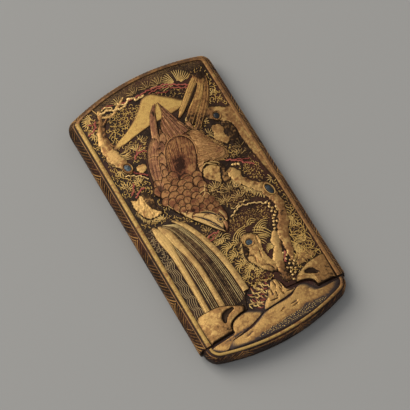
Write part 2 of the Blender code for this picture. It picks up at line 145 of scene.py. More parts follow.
def end_curve(far, inset, bow_points=41, arc_points=9):
    """Plan points round one end: a parabola of centres carried out along its normal by the corner radius."""
    corner = FAR_CORNER if far else NEAR_CORNER + BASE_INSET
    bow = FAR_BOW if far else NEAR_BOW
    tip = cover_high.y if far else BASE_INSET - base_low.y
    across = np.linspace(HALF_WIDTH - corner, corner - HALF_WIDTH, bow_points)
    centres = np.stack([across, tip - corner - bow * (across / HALF_WIDTH) ** 2], 1)
    turn = np.arctan2(np.ones_like(across), 2 * bow * across / HALF_WIDTH ** 2)
    first_arc = np.linspace(0.0, turn[0], arc_points)[:-1]
    last_arc = np.linspace(turn[-1], math.pi, arc_points)[1:]
    angles = np.concatenate([first_arc, turn, last_arc])
    middles = np.concatenate(
        [np.repeat(centres[:1], arc_points - 1, 0), centres, np.repeat(centres[-1:], arc_points - 1, 0)])
    points = middles + (corner - inset) * np.stack([np.cos(angles), np.sin(angles)], 1)
    return points if far else -points


def crown_rise(x):
    """The front's swell above its shoulders: a parabola across the width."""
    return CROWN * (1 - (x / HALF_WIDTH) ** 2)


def make_object(name, verts, faces, values=None, flow=None, sharp=50.0):
    """A mesh object from arrays, with its point values as attributes and its flow coordinates as UVs."""
    mesh = bpy.data.meshes.new(name)
    mesh.from_pydata(np.asarray(verts).tolist(), [], faces)
    for key, array in (values or {}).items():
        mesh.attributes.new(key, "FLOAT", "POINT").data.foreach_set("value", np.asarray(array, np.float32))
    if flow is not None:
        corners = np.empty(len(mesh.loops), np.int32)
        mesh.loops.foreach_get("vertex_index", corners)
        layer = mesh.uv_layers.new(name="flow")
        layer.data.foreach_set("uv", np.asarray(flow, np.float32)[corners].ravel())
    mesh.shade_smooth()
    mesh.set_sharp_from_angle(angle=math.radians(sharp))
    thing = bpy.data.objects.new(name, mesh)
    scene.collection.objects.link(thing)
    return thing


def ring_faces(count, low, high):
    """Quads between two rings of points whose first indices are given."""
    i = np.arange(count)
    j = (i + 1) % count
    return np.stack([low + i, low + j, high + j, high + i], 1)


def case_form(name, inset, step):
    """The case as a closed block: plan rings up a rolled edge, a band and a shoulder, closed by strips."""
    rings = []
    turns = np.linspace(0.0, math.pi / 2, 9)
    for turn in turns:
        sides = [end_curve(far, inset + (BACK_ROLL_WIDTH - inset) * (1 - math.sin(turn)))
                 for far in (True, False)]
        ring = np.concatenate(sides)
        rings.append(np.column_stack(
                         [ring, np.full(len(ring), BACK_ROLL - (BACK_ROLL - step) * math.cos(turn))]))
    for turn in turns:
        sides = [end_curve(far, inset + (SHOULDER_WIDTH - inset) * (1 - math.cos(turn)))
                 for far in (True, False)]
        ring = np.concatenate(sides)
        height = band_top + (SHOULDER - step) * math.sin(turn) + crown_rise(ring[:, 0])
        rings.append(np.column_stack([ring, height]))
    count = len(rings[0])
    faces = [ring_faces(count, k * count, (k + 1) * count) for k in range(len(rings) - 1)]
    top = (len(rings) - 1) * count
    i = np.arange(count // 2 - 1)
    strips = np.stack([top + i, top + i + 1, top + count - 2 - i, top + count - 1 - i], 1)
    back = [list(range(count))[::-1]]
    return make_object(name, np.concatenate(rings), np.concatenate(faces + [strips]).tolist() + back)


def lobe(x, middle, half, rise, squareness):
    """A flat-topped lobe: its rise times the root of one minus the offset to a power."""
    offset = np.clip(np.abs(x - middle) / half, 0.0, 1.0)
    return rise * (1 - offset ** squareness) ** (1 / squareness)


def joint_line(gap):
    """The wavy joint from left to right: a wide low lobe and a tall narrow one, moved by a gap."""
    x = np.concatenate(
        [MM * (1.6 + 21.799 * np.cos(np.linspace(math.pi, 0.0, 61))),
         MM * (0.5 + 10.599 * np.cos(np.linspace(math.pi, 0.0, 49))), (-HALF_WIDTH, HALF_WIDTH)])
    x = np.sort(x)
    rise = np.maximum(
        lobe(x, 1.6 * MM, 21.8 * MM, 6.8 * MM, 3.2), lobe(x, 0.5 * MM, 10.6 * MM, 15.6 * MM, 2.6))
    line = np.stack([x, joint_y + rise], 1)
    run = np.gradient(line, axis=0)
    run /= np.linalg.norm(run, axis=1)[:, None]
    return line + gap * np.stack([run[:, 1], -run[:, 0]], 1)


def upright_prism(name, outline, low, high):
    """A closed prism over a plan outline."""
    count = len(outline)
    verts = np.concatenate(
        [np.column_stack([outline, np.full(count, low)]), np.column_stack([outline, np.full(count, high)])])
    faces = ring_faces(count, 0, count).tolist() + [list(range(count))[::-1], list(range(count, 2 * count))]
    return outward(make_object(name, verts, faces))


def outward(thing):
    """Turns a closed mesh's faces outwards."""
    bm = bmesh.new()
    bm.from_mesh(thing.data)
    bmesh.ops.recalc_face_normals(bm, faces=bm.faces)
    bm.to_mesh(thing.data)
    bm.free()
    return thing


def combine(target, tool, operation):
    """Joins or cuts the target with a tool, applies it and removes the tool."""
    modifier = target.modifiers.new(operation.lower(), "BOOLEAN")
    modifier.operation = operation
    modifier.object = tool
    bpy.context.view_layer.update()
    solid = bpy.data.meshes.new_from_object(target.evaluated_get(bpy.context.evaluated_depsgraph_get()))
    target.modifiers.clear()
    target.data = solid
    bpy.data.objects.remove(tool)


# How far the cutters reach past the case, in metres.
BEYOND = 0.1


def cut_at_joint(shell, gap, toward_base):
    """Takes away all of a shell on one side of the joint: wavy through the front, straight below it."""
    far_off = 0.4 * (-1 if toward_base else 1)
    split = BACK_ROLL + SIDE_BAND / 2
    line = joint_line(gap)
    line[0, 0], line[-1, 0] = -BEYOND, BEYOND
    outline = np.concatenate([line, [(BEYOND, far_off), (-BEYOND, far_off)]])
    straight = joint_y - gap
    block = np.array([(-BEYOND, straight), (BEYOND, straight), (BEYOND, far_off), (-BEYOND, far_off)])
    combine(shell, upright_prism("front cutter", outline, split, BEYOND), "DIFFERENCE")
    combine(shell, upright_prism("back cutter", block, -BEYOND, split + FIT_GAP), "DIFFERENCE")


neck_inset = COVER_WALL + FIT_GAP
hollow_inset = neck_inset + NECK_WALL
cover_shell = outward(case_form("cover_shell", 0.0, 0.0))
combine(cover_shell, outward(case_form("cover hollow", COVER_WALL, COVER_WALL)), "DIFFERENCE")
cut_at_joint(cover_shell, 0.0, True)
base_shell = outward(case_form("base_shell", BASE_INSET, BASE_STEP))
cut_at_joint(base_shell, FIT_GAP, False)
combine(base_shell, outward(case_form("neck room", neck_inset, neck_inset)), "DIFFERENCE")
base_neck = outward(case_form("base_neck", neck_inset, neck_inset))
combine(base_neck, outward(case_form("hollow", hollow_inset, hollow_inset)), "DIFFERENCE")
mouth = np.array([(-BEYOND, base_high.y), (BEYOND, base_high.y), (BEYOND, 0.2), (-BEYOND, 0.2)])
combine(base_neck, upright_prism("beyond mouth", mouth, -BEYOND, BEYOND), "DIFFERENCE")
for shell in (cover_shell, base_shell, base_neck):
    shell.data.shade_smooth()
    shell.data.set_sharp_from_angle(angle=math.radians(35))


def add_node(tree, kind, **values):
    """A node of a kind, with its settings."""
    node = tree.nodes.new(kind)
    for key, value in values.items():
        setattr(node, key, value)
    return node


def noise(tree, vector, scale, detail=3.0):
    """A noise over a vector at a scale; puts out its value."""
    node = add_node(tree, "ShaderNodeTexNoise")
    node.inputs["Detail"].default_value = detail
    tree.links.new(vector, node.inputs["Vector"])
    if isinstance(scale, (int, float)):
        node.inputs["Scale"].default_value = scale
    else:
        tree.links.new(scale, node.inputs["Scale"])
    return node.outputs["Fac"]


def maths(tree, operation, first, second=None, third=None):
    """A math node on sockets or numbers."""
    node = add_node(tree, "ShaderNodeMath", operation=operation)
    for i, value in enumerate((first, second, third)):
        if value is None:
            continue
        if isinstance(value, (int, float)):
            node.inputs[i].default_value = value
        else:
            tree.links.new(value, node.inputs[i])
    return node.outputs[0]


def spread(tree, value, low, high):
    """Maps a value from low..high to nought..one, smoothly, held at both ends."""
    node = add_node(tree, "ShaderNodeMapRange", interpolation_type="SMOOTHSTEP")
    tree.links.new(value, node.inputs["Value"])
    node.inputs["From Min"].default_value = low
    node.inputs["From Max"].default_value = high
    return node.outputs["Result"]


def blend_colours(tree, mask, first, second):
    """Mixes two colours, sockets or values, by a mask."""
    node = add_node(tree, "ShaderNodeMix", data_type="RGBA")
    for socket, value in ((node.inputs["Factor"], mask), (node.inputs[6], first), (node.inputs[7], second)):
        if hasattr(value, "is_linked"):
            tree.links.new(value, socket)
        else:
            socket.default_value = value if isinstance(value, float) else (*value, 1.0)
    return node.outputs[2]


def own(piece, material):
    """Gives a piece its material and hangs it on the case."""
    piece.data.materials.clear()
    piece.data.materials.append(material)
    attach(piece, "root")


def ground_material(name, tone, red, dust_colour, dusting, far_dust_and_sheen=0.0):
    """Dark lacquer with mottles and sprinkled dust of a colour; dusting is how much of it shows.

    Far dust adds more of it towards the far end, partly as real dust and partly as a painted sheen of the
    lamp on the far shoulder.
    """
    material = bpy.data.materials.new(name)
    material.use_nodes = True
    tree = material.node_tree
    shader = tree.nodes["Principled BSDF"]
    place = add_node(tree, "ShaderNodeTexCoord").outputs["Object"]
    split = add_node(tree, "ShaderNodeSeparateXYZ")
    tree.links.new(place, split.inputs["Vector"])
    clouds = noise(tree, place, 90.0, 4.0)
    grains = noise(tree, place, 2400.0, 1.0)
    # Painted sheen: the extra dust towards the far end stands partly for the lamp's light on the far
    # shoulder.
    far = maths(tree, "MULTIPLY", spread(tree, split.outputs["Y"], 58 * MM, 67 * MM), far_dust_and_sheen)
    dusted = maths(tree, "ADD", maths(tree, "MULTIPLY_ADD", clouds, dusting, grains), far)
    cover = spread(tree, dusted, 0.62 + dusting / 2, 0.80 + dusting / 2)
    mottle = blend_colours(
        tree, spread(tree, noise(tree, place, 260.0, 3.0), 0.4, 0.7), tone, tuple(2.2 * v for v in tone))
    reddened = spread(tree, noise(tree, place, 70.0, 3.0), 0.45, 0.65)
    mottle = blend_colours(tree, reddened, mottle, red)
    tree.links.new(blend_colours(tree, cover, mottle, dust_colour), shader.inputs["Base Color"])
    tree.links.new(maths(tree, "MULTIPLY_ADD", clouds, 0.25, 0.3), shader.inputs["Roughness"])
    bump_node = add_node(tree, "ShaderNodeBump")
    bump_node.inputs["Distance"].default_value = 0.00004
    tree.links.new(grains, bump_node.inputs["Height"])
    tree.links.new(bump_node.outputs["Normal"], shader.inputs["Normal"])
    shader.inputs["Metallic"].default_value = 0.0
    shader.inputs["Specular IOR Level"].default_value = 0.07
    return material


own(cover_shell,
    ground_material(
        "dark ground", (0.016, 0.009, 0.0055), (0.044, 0.017, 0.011), (0.15, 0.085, 0.03), 0.4, 0.16))
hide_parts("cover")
own(base_shell,
    ground_material("base ground", (0.018, 0.011, 0.009), (0.045, 0.018, 0.014), (0.16, 0.10, 0.05), 0.5))
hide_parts("base")
own(base_neck,
    ground_material("bare shell", (0.05, 0.02, 0.008), (0.22, 0.085, 0.025), (0.42, 0.21, 0.07), 1.2))

# The bead: a rib of lacquer paste round the front of each half, dusted with gold and rubbed bright, with a
# thin line of the same gold outside it on the shoulder. Its tint holds painted light: painted shade makes it
# dark brown along the far end and browner along the right, where the right is also worn gold, and a painted
# highlight makes it lighter along the near end's left half. The recipe for gold lacquer, patchy where the
# dust thins and darkened towards each piece's foot, partly as its dark outline and partly as painted crevice
# shade, serves each piece below.
ROOT = 0.35 * MM


def cover_front(x, y):
    """Height of the plain cover front: a quarter ellipse up from the band, then the crown."""
    side = HALF_WIDTH - np.abs(x)
    end = cover_high.y - FAR_BOW * (x / HALF_WIDTH) ** 2 - y
    reach = np.clip(np.minimum(side, end) / SHOULDER_WIDTH, 0.0, 1.0)
    return band_top + SHOULDER * np.sqrt(1 - (1 - reach) ** 2) + crown_rise(x)


def base_front(x, y):
    """Height of the plain base front, lower by its step and drawn in by its inset."""
    side = HALF_WIDTH - BASE_INSET - np.abs(x)
    end = y - base_low.y - NEAR_BOW * (x / HALF_WIDTH) ** 2
    reach = np.clip(np.minimum(side, end) / (SHOULDER_WIDTH - BASE_INSET), 0.0, 1.0)
    return band_top + (SHOULDER - BASE_STEP) * np.sqrt(1 - (1 - reach) ** 2) + crown_rise(x)


# The gold lacquer's recipe, one group of nodes for every raised piece.
def new_group(name, inputs, outputs):
    """An empty node group with named sockets: its tree, its input sockets and its output sockets."""
    tree = bpy.data.node_groups.new(name, "ShaderNodeTree")
    for label, kind in inputs:
        tree.interface.new_socket(label, in_out="INPUT", socket_type=kind)
    for label, kind in outputs:
        tree.interface.new_socket(label, in_out="OUTPUT", socket_type=kind)
    return tree, tree.nodes.new("NodeGroupInput").outputs, tree.nodes.new("NodeGroupOutput").inputs


COLOUR, NUMBER, VECTOR = "NodeSocketColor", "NodeSocketFloat", "NodeSocketVector"
gold_lacquer, given, result = new_group(
    "gold lacquer",
    (("Place", VECTOR), ("Flow", VECTOR), ("Edge", NUMBER), ("Tint", NUMBER), ("Gold", COLOUR),
     ("Brown", COLOUR), ("Dark", COLOUR), ("Thin", NUMBER), ("Streak", NUMBER)),
    (("Color", COLOUR), ("Roughness", NUMBER), ("Height", NUMBER)))
patches = noise(gold_lacquer, given["Place"], 220.0, 4.0)
dust = noise(gold_lacquer, given["Place"], 2600.0, 2.0)
streaks = noise(gold_lacquer, given["Flow"], 1.0, 3.0)
mottles = noise(gold_lacquer, given["Place"], 800.0, 3.0)
uneven = maths(gold_lacquer, "MULTIPLY_ADD", mottles, 1.2, patches)
wander = maths(gold_lacquer, "MULTIPLY_ADD", uneven, 2.1, -2.31)
lean = maths(gold_lacquer, "MULTIPLY_ADD", maths(gold_lacquer, "SUBTRACT", streaks, 0.5), given["Streak"],
             wander)
thin = maths(gold_lacquer, "ADD", maths(gold_lacquer, "SUBTRACT", given["Thin"], given["Tint"]), lean)
coat = blend_colours(gold_lacquer, spread(gold_lacquer, thin, 0.0, 0.8), given["Gold"], given["Brown"])
coat = blend_colours(gold_lacquer, spread(gold_lacquer, thin, 0.9, 1.7), coat, given["Dark"])
# Painted crevice shade: towards each piece's foot its colour goes over to the dark one, partly as the dark
# outline round each shape and partly as shade.
rim = maths(gold_lacquer, "SUBTRACT", given["Edge"], maths(gold_lacquer, "MULTIPLY", dust, 0.16))
crevice_shade = spread(gold_lacquer, rim, 0.42, 0.02)
coat = blend_colours(gold_lacquer, crevice_shade, coat, given["Dark"])
speckled = spread(gold_lacquer, dust, 0.3, 0.75)
darker = maths(gold_lacquer, "MULTIPLY", speckled, 0.35)
gold_lacquer.links.new(blend_colours(gold_lacquer, darker, coat, given["Dark"]), result["Color"])
gold_lacquer.links.new(maths(gold_lacquer, "MULTIPLY_ADD", patches, 0.3, 0.32), result["Roughness"])
height = maths(
    gold_lacquer, "MULTIPLY_ADD", streaks, maths(gold_lacquer, "MULTIPLY", given["Streak"], 0.6), dust)
gold_lacquer.links.new(height, result["Height"])


def value_node(tree, name):
    """Reads a point value of the mesh."""
    return add_node(tree, "ShaderNodeAttribute", attribute_name=name).outputs["Fac"]


def lacquer(name, gold, brown, dark, thin=0.2, streak=0.0, along=0.3, across=3.0, metallic=0.7, bump=0.00006,
            coat=0.0, shine=0.5):
    """A lacquer with its own three colours; streaks run along the flow, so many to the millimetre."""
    material = bpy.data.materials.new(name)
    material.use_nodes = True
    tree = material.node_tree
    shader = tree.nodes["Principled BSDF"]
    place = add_node(tree, "ShaderNodeTexCoord").outputs["Object"]
    stretch = add_node(tree, "ShaderNodeMapping")
    stretch.inputs["Scale"].default_value = (along, across, 1.0)
    tree.links.new(add_node(tree, "ShaderNodeUVMap", uv_map="flow").outputs["UV"], stretch.inputs["Vector"])
    group = add_node(tree, "ShaderNodeGroup", node_tree=gold_lacquer)
    tree.links.new(place, group.inputs["Place"])
    tree.links.new(stretch.outputs["Vector"], group.inputs["Flow"])
    tree.links.new(value_node(tree, "edge"), group.inputs["Edge"])
    tree.links.new(value_node(tree, "tint"), group.inputs["Tint"])
    for label, colour in (("Gold", gold), ("Brown", brown), ("Dark", dark)):
        group.inputs[label].default_value = (*colour, 1.0)
    group.inputs["Thin"].default_value = thin
    group.inputs["Streak"].default_value = streak
    bump_node = add_node(tree, "ShaderNodeBump")
    bump_node.inputs["Distance"].default_value = bump
    tree.links.new(group.outputs["Color"], shader.inputs["Base Color"])
    tree.links.new(group.outputs["Roughness"], shader.inputs["Roughness"])
    tree.links.new(group.outputs["Height"], bump_node.inputs["Height"])
    tree.links.new(bump_node.outputs["Normal"], shader.inputs["Normal"])
    shader.inputs["Metallic"].default_value = metallic
    shader.inputs["Specular IOR Level"].default_value = shine
    shader.inputs["Specular Tint"].default_value = (*gold, 1.0)
    shader.inputs["Coat Weight"].default_value = coat
    shader.inputs["Coat Roughness"].default_value = 0.25
    return material


UMBER = (0.09, 0.045, 0.022)


def curve(points, count, closed=False):
    """So many points spread evenly in parameter along a Catmull-Rom curve through columns of values."""
    points = np.asarray(points, float)
    if closed:
        padded = np.concatenate([points[-1:], points, points[:2]])
        spans = len(points)
        t = np.linspace(0.0, spans, count, endpoint=False)
    else:
        padded = np.concatenate([2 * points[:1] - points[1:2], points, 2 * points[-1:] - points[-2:-1]])
        spans = len(points) - 1
        t = np.linspace(0.0, spans, count)
    i = np.minimum(t.astype(int), spans - 1)
    f = (t - i)[:, None]
    p0, p1, p2, p3 = (padded[i + k] for k in range(4))
    return 0.5 * (2 * p1 + (p2 - p0) * f + (2 * p0 - 5 * p1 + 4 * p2 - p3) * f ** 2
                  + (3 * p1 - p0 - 3 * p2 + p3) * f ** 3)


def ripple(x, y, size, seed):
    """A smooth uneven height from -1 to 1: five sine waves of about a size, turned and shifted by a seed."""
    rng = np.random.default_rng(seed)
    total = 0.0
    for _ in range(5):
        turn, phase, pitch = rng.uniform(0, 6.283), rng.uniform(0, 6.283), size * rng.uniform(0.6, 1.5)
        total = total + np.sin((x * math.cos(turn) + y * math.sin(turn)) * 6.283 / pitch + phase)
    return total / 5


def signed_volume(verts, faces):
    """Six times the volume inside quads and triangles, negative when they face inwards."""
    total = 0.0
    for group in faces:
        if len(group):
            corners = verts[group]
            for k in range(1, group.shape[1] - 1):
                total += np.einsum(
                    "ij,ij->i", corners[:, 0], np.cross(corners[:, k], corners[:, k + 1])).sum()
    return total


ROUND = tuple((o, 0.1 + 0.9 * math.sqrt(1 - o * o)) for o in np.linspace(-1.0, 1.0, 9))
SLAB = ((-1.0, 0.6), (-0.8, 1.0), (-0.4, 1.04), (0.0, 1.08), (0.4, 1.04), (0.8, 1.0), (1.0, 0.6))


def wavering(travelled, size, seed):
    """An uneven run from -1 to 1 along a length: four sine waves of about a size, shifted by a seed."""
    rng = np.random.default_rng(seed)
    pitches, phases = size * np.array((1.7, 1.0, 0.55, 0.3)), rng.uniform(0, 6.283, 4)
    weights = np.array((0.8, 1.0, 0.7, 0.4))
    return (weights * np.sin(np.multiply.outer(travelled, 6.283 / pitches) + phases)).sum(-1) / 2


def unevenness(x, y, rough, size, seed):
    """One, give or take a share, by coarse and fine ripples of a size in millimetres."""
    return 1 + rough * (ripple(x, y, size * MM, seed) + 0.5 * ripple(x, y, size * MM / 3, seed + 1))


def strand(path, widths, height, front=cover_front, count=24, section=ROUND, rough=0.0, tint=0.0, lift=0.0,
           seed=1, size=2.2, ragged=0.0, fade=2.2):
    """A raised ridge along a path: at each station the section's heights across, as wide as the widths say.

    Height and tint may be a list along the path; rough moves the surface in and out by that share, and
    ragged moves either edge by so many millimetres. The edge value falls to nought fade times as fast as
    the section narrows.
    """
    path = np.asarray(path, float)
    many = len(path)
    columns = [path,
               *(np.broadcast_to(np.asarray(v, float), many)[:, None] for v in (widths, height, tint, lift))]
    stations = curve(np.column_stack(columns), count)
    centres, half = stations[:, :2] * MM, np.maximum(stations[:, 2:3] / 2, 0.04) * MM
    heights, tints, lifts = (stations[:, k:k + 1] for k in (3, 4, 5))
    run = np.gradient(centres, axis=0)
    length = np.linalg.norm(run, axis=1)
    side = np.stack([run[:, 1], -run[:, 0]], 1) / length[:, None]
    travelled = (np.cumsum(length) - length[0]) / MM
    offset, rise = np.array(section).T
    arch = len(offset)
    both = np.concatenate([offset, offset[::-1]])
    rises = np.concatenate([rise, np.zeros(arch)])
    torn = np.stack(
        [wavering(travelled, 4.6, seed + 11), wavering(travelled, 4.6, seed + 12)], 1) * ragged * MM
    reach = np.maximum(half + np.where(both < 0, torn[:, :1], torn[:, 1:]) * both ** 4, 0.05 * MM)
    plan = centres[:, None, :] + side[:, None, :] * (reach * both)[..., None]
    x, y = plan[..., 0], plan[..., 1]
    uneven = unevenness(x, y, rough, size, seed)
    top = (lifts + heights * rises * uneven) * MM
    is_top = np.arange(2 * arch) < arch
    z = front(x, y) + np.where(is_top, top, -ROOT)
    verts = np.stack([x, y, z], -1).reshape(-1, 3)
    ring = 2 * arch
    quads = [ring_faces(ring, k * ring, (k + 1) * ring) for k in range(count - 1)]
    i = np.arange(arch - 1)
    for start, flip in ((0, 1), ((count - 1) * ring, -1)):
        quads.append(np.stack([start + i, start + i + 1, start + ring - 2 - i, start + ring - 1 - i],
                              1)[:, ::flip])
    edge = np.broadcast_to(
        np.where(is_top, np.clip(fade * (1 - np.abs(both)), 0, 1), 0.0), (count, ring)).ravel()
    flow = np.stack([np.broadcast_to(travelled[:, None], (count, ring)),
                     both[None, :] * half / MM], -1).reshape(-1, 2)
    return verts, [np.concatenate(quads)], edge, np.repeat(tints.ravel(), ring), flow


def relief(name, shapes, material):
    """One piece from several closed shapes, each turned outwards."""
    verts, faces, values, flows, start = [], [], {"edge": [], "tint": []}, [], 0
    for points, groups, edge, tint, flow in shapes:
        inside_out = signed_volume(points, groups) < 0
        for group in groups:
            turned = group[:, ::-1] if inside_out else group
            faces += (turned + start).tolist()
        verts.append(points)
        values["edge"].append(edge)
        values["tint"].append(tint)
        flows.append(flow)
        start += len(points)
    values = {key: np.concatenate(arrays) for key, arrays in values.items()}
    piece = make_object(name, np.concatenate(verts), faces, values, np.concatenate(flows))
    own(piece, material)
    return piece


# How far in from the wall the bead and the line lie, by place across.
BEAD_INSETS = (4.5, 3.3, 2.1)
LINE_INSETS = (2.5, 1.7, 0.6)


def frame_path(far, insets, overrun):
    """Drawing points of a line in from the left side, the right side and one end, running to the joint."""
    left, right, end_inset = insets
    end = end_curve(far, (0.0 if far else BASE_INSET) + end_inset * MM, 25, 7)
    reach = np.abs(end[:, 0]).max()
    end[:, 0] = np.interp(end[:, 0], (-reach, reach), (left * MM - HALF_WIDTH, HALF_WIDTH - right * MM))
    stop = joint_y + overrun * MM
    levels = np.linspace(stop, end[0, 1], 6)[:-1]
    first = np.column_stack([np.full(5, end[0, 0]), levels])
    last = np.column_stack([np.full(5, end[-1, 0]), levels[::-1]])
    return np.concatenate([first, end, last]) / MM


BEAD_SECTION = ((-1.0, 0.3), (-0.9, 0.72), (-0.6, 0.94), (0.0, 1.0), (0.6, 0.94), (0.9, 0.72), (1.0, 0.3))
bead_gold = lacquer(
    "bead gold", (0.42, 0.265, 0.08), (0.25, 0.12, 0.042), UMBER, thin=0.35, metallic=0.35, coat=0.1)
for name, far, front, overrun in (
        ("cover_bead", True, cover_front, 0.2), ("base_bead", False, base_front, -1.2)):
    path = frame_path(far, BEAD_INSETS, overrun)
    line = frame_path(far, LINE_INSETS, overrun)
    # Painted light in the tint: darker along the far end as painted shade, browner along the right as worn
    # gold and painted shade, lighter along the near end's left half as a painted highlight.
    wear_and_painted_light = np.interp(
        path[:, 0], (-33, -32, -29, 28, 33),
        (0.15, -0.3, -1.1, -1.1, -0.6) if far else (0.3, 0.7, 0.6, -0.3, -0.6))
    width = np.interp(path[:, 0], (-33, -30, 30, 33), (2.3, 1.7, 1.7, 2.0) if far else (1.5, 1.4, 1.4, 1.4))
    relief(name, [strand(path, width, 0.7, front, count=240, section=BEAD_SECTION, tint=wear_and_painted_light),
                  strand(line, 0.4, 0.12, front, count=240, section=SLAB, tint=-0.7)], bead_gold)

# The mountain: a plain low slope of gold dust on a thin layer of paste. It thins away at its foot, where
# the dark ground shows through.


def distances(path):
    """How far along a path each of its points lies."""
    return np.concatenate([[0], np.cumsum(np.linalg.norm(np.diff(path, axis=0), axis=1))])


def boss(outline, height, front=cover_front, count=72, rings=9, flat=0.6, rough=0.0, size=3.0, tint=0.0,
         middle=None, lift=0.0, seed=1, turn=0.0, spacing=1.6, ragged=0.0, rim=0.0, crevice=0.33):
    """A raised shape inside a closed outline: a steep edge, then a dome towards its middle.

    Its rings are the outline drawn in towards the middle; ragged moves the edge by so many millimetres,
    and rim raises a lip just inside it. Crevice is the share of the way in that is darkened, partly as the
    shape's dark outline and partly as painted crevice shade.
    """
    edge_line = curve(outline, 6 * count, True) * MM
    travelled = distances(edge_line)
    even = np.linspace(0, travelled[-1], count, endpoint=False)
    edge_line = np.stack([np.interp(even, travelled, edge_line[:, k]) for k in (0, 1)], 1)
    run = np.roll(edge_line, -1, 0) - np.roll(edge_line, 1, 0)
    run /= np.linalg.norm(run, axis=1)[:, None]
    around = even / travelled[-1] * 2 * math.pi
    waves = max(3, round(travelled[-1] / MM / 3.4))
    torn = (0.8 * np.sin(waves * around + seed) + np.sin((2 * waves - 1) * around + 2.1 * seed)
            + 0.6 * np.sin((4 * waves + 1) * around + 3.7 * seed)) * ragged * MM / 2
    torn = np.stack([run[:, 1], -run[:, 0]], 1) * torn[:, None]
    middle = edge_line.mean(0) if middle is None else np.array(middle) * MM
    shares = np.concatenate([[1.0], 1 - np.linspace(0.0, 1.0, rings, endpoint=False) ** spacing])
    plan = middle + (edge_line[None] - middle) * shares[:, None, None] + torn * shares[:, None, None] ** 5
    x, y = plan[..., 0], plan[..., 1]
    depth = 1 - shares[:, None]
    dome = flat * np.clip(depth / 0.08, 0, 1) ** 0.6 + (1 - flat) * np.sqrt(1 - (1 - depth) ** 2)
    dome = dome + rim * np.exp(-((depth - 0.12) / 0.09) ** 2)
    uneven = unevenness(x, y, rough, size, seed)
    z = front(x, y) + lift * MM + height * MM * (0.12 + 0.88 * dome) * uneven
    z[0] = front(x[0], y[0]) - ROOT
    verts = np.concatenate(
        [np.stack([x, y, z], -1).reshape(-1, 3), [(*middle, front(*middle) + (lift + height) * MM)],
         [(*middle, front(*middle) - ROOT)]])
    quads = np.concatenate([ring_faces(count, k * count, (k + 1) * count) for k in range(rings)])
    i = np.arange(count)
    j = (i + 1) % count
    last = rings * count
    crown = np.stack([last + i, last + j, np.full(count, len(verts) - 2)], 1)
    floor = np.stack([j, i, np.full(count, len(verts) - 1)], 1)
    edge = np.concatenate([np.broadcast_to(np.clip(depth / crevice, 0, 1), x.shape).ravel(), [1.0, 0.0]])
    spot = (verts[:, :2] - middle) / MM
    c, s = math.cos(turn), math.sin(turn)
    flow = np.stack([spot[:, 0] * c + spot[:, 1] * s, spot[:, 1] * c - spot[:, 0] * s], 1)
    tints = np.broadcast_to(tint + 2.2 * rim * np.exp(-((depth - 0.14) / 0.1) ** 2), x.shape).ravel()
    return verts, [quads, np.concatenate([crown, floor])], edge, np.append(tints, [tint, tint]), flow


def shaded(shape, spots):
    """Adds soft light or dark spots to a shape: each has a centre, two radii and an amount."""
    verts, faces, edge, tint, flow = shape
    x, y = verts[:, 0] / MM, verts[:, 1] / MM
    for cx, cy, rx, ry, amount in spots:
        tint = tint + amount * np.exp(-((x - cx) / rx) ** 2 - ((y - cy) / ry) ** 2)
    return verts, faces, edge, tint, flow


mountain_gold = lacquer("mountain gold", (0.51, 0.32, 0.095), (0.38, 0.21, 0.065), UMBER, thin=0.0)
MOUNTAIN = [(-25, 43.4), (-22.5, 45.7), (-18, 47.3), (-12, 50.4), (-6, 54.8), (-2.2, 58.6), (0, 60),
            (2.4, 60.2), (5, 59.4), (8, 56.6), (12, 53.4), (15, 50.4), (17.6, 48.2), (12, 46.4), (4, 45.8),
            (-4, 45.6), (-14, 44.2), (-21, 42.9)]
slope = shaded(boss(MOUNTAIN, 0.35, middle=(0, 50), count=120, rings=12, flat=0.95, rough=0.05),
              ((6, 45, 16, 1.8, -1.3), (-14, 43.2, 10, 1.3, -1.0), (-2, 59.4, 3, 1.2, -0.6)))
relief("mountain", [slope], mountain_gold)

# The waterfall: three broad tongues of bright gold over raised paste, with fine dark lines brushed down
# them, and thin raised threads of gold for the water that falls between.
BARK = ((-1.0, 0.3), (-0.86, 0.78), (-0.5, 0.98), (0.0, 1.03), (0.5, 0.98), (0.86, 0.78), (1.0, 0.3))
DARK = (0.022, 0.013, 0.009)

# Places across a stroke, from edge to edge.
ACROSS = np.array([-1.0, -0.45, 0.45, 1.0])


def stroke_faces(many, count):
    """Faces of many strokes at once, each with four points at every one of its stations."""
    last = (count - 1) * 4
    one = [ring_faces(4, k * 4, (k + 1) * 4) for k in range(count - 1)]
    one = np.concatenate(one + [np.array([(3, 2, 1, 0)]), np.array([(last, last + 1, last + 2, last + 3)])])
    return (one[None] + (np.arange(many) * count * 4)[:, None, None]).reshape(-1, 4)


def strokes(paths, widths, height, front=cover_front, tints=0.0, lift=0.0, side_edge=0.35):
    """Many thin raised strokes at once from arrays of paths, each with a flat-topped section."""
    paths = np.asarray(paths, float) * MM
    many, count = paths.shape[:2]
    half = np.broadcast_to(np.asarray(widths, float), (many, count))[..., None] * MM / 2
    run = np.gradient(paths, axis=1)
    side = np.stack([run[..., 1], -run[..., 0]], -1) / np.maximum(
        np.linalg.norm(run, axis=-1), 1e-9)[..., None]
    plan = paths[:, :, None, :] + side[:, :, None, :] * half[:, :, None, :] * ACROSS[:, None]
    x, y = plan[..., 0], plan[..., 1]
    rises = np.where(np.abs(ACROSS) < 0.9, (lift + height) * MM, -ROOT * 0.4 + lift * MM)
    verts = np.stack([x, y, front(x, y) + rises], -1).reshape(-1, 3)
    quads = stroke_faces(many, count)
    tint = np.repeat(np.broadcast_to(np.asarray(tints, float), many), count * 4)
    edge = np.broadcast_to(np.where(np.abs(ACROSS) < 0.9, 1.0, side_edge), (many, count, 4)).ravel()
    along = np.broadcast_to(np.linspace(0.0, 3.0, count)[None, :, None], (many, count, 4))
    flow = np.stack([along, np.broadcast_to(ACROSS[None, None], (many, count, 4))], -1).reshape(-1, 2)
    return verts, [quads], edge, tint, flow


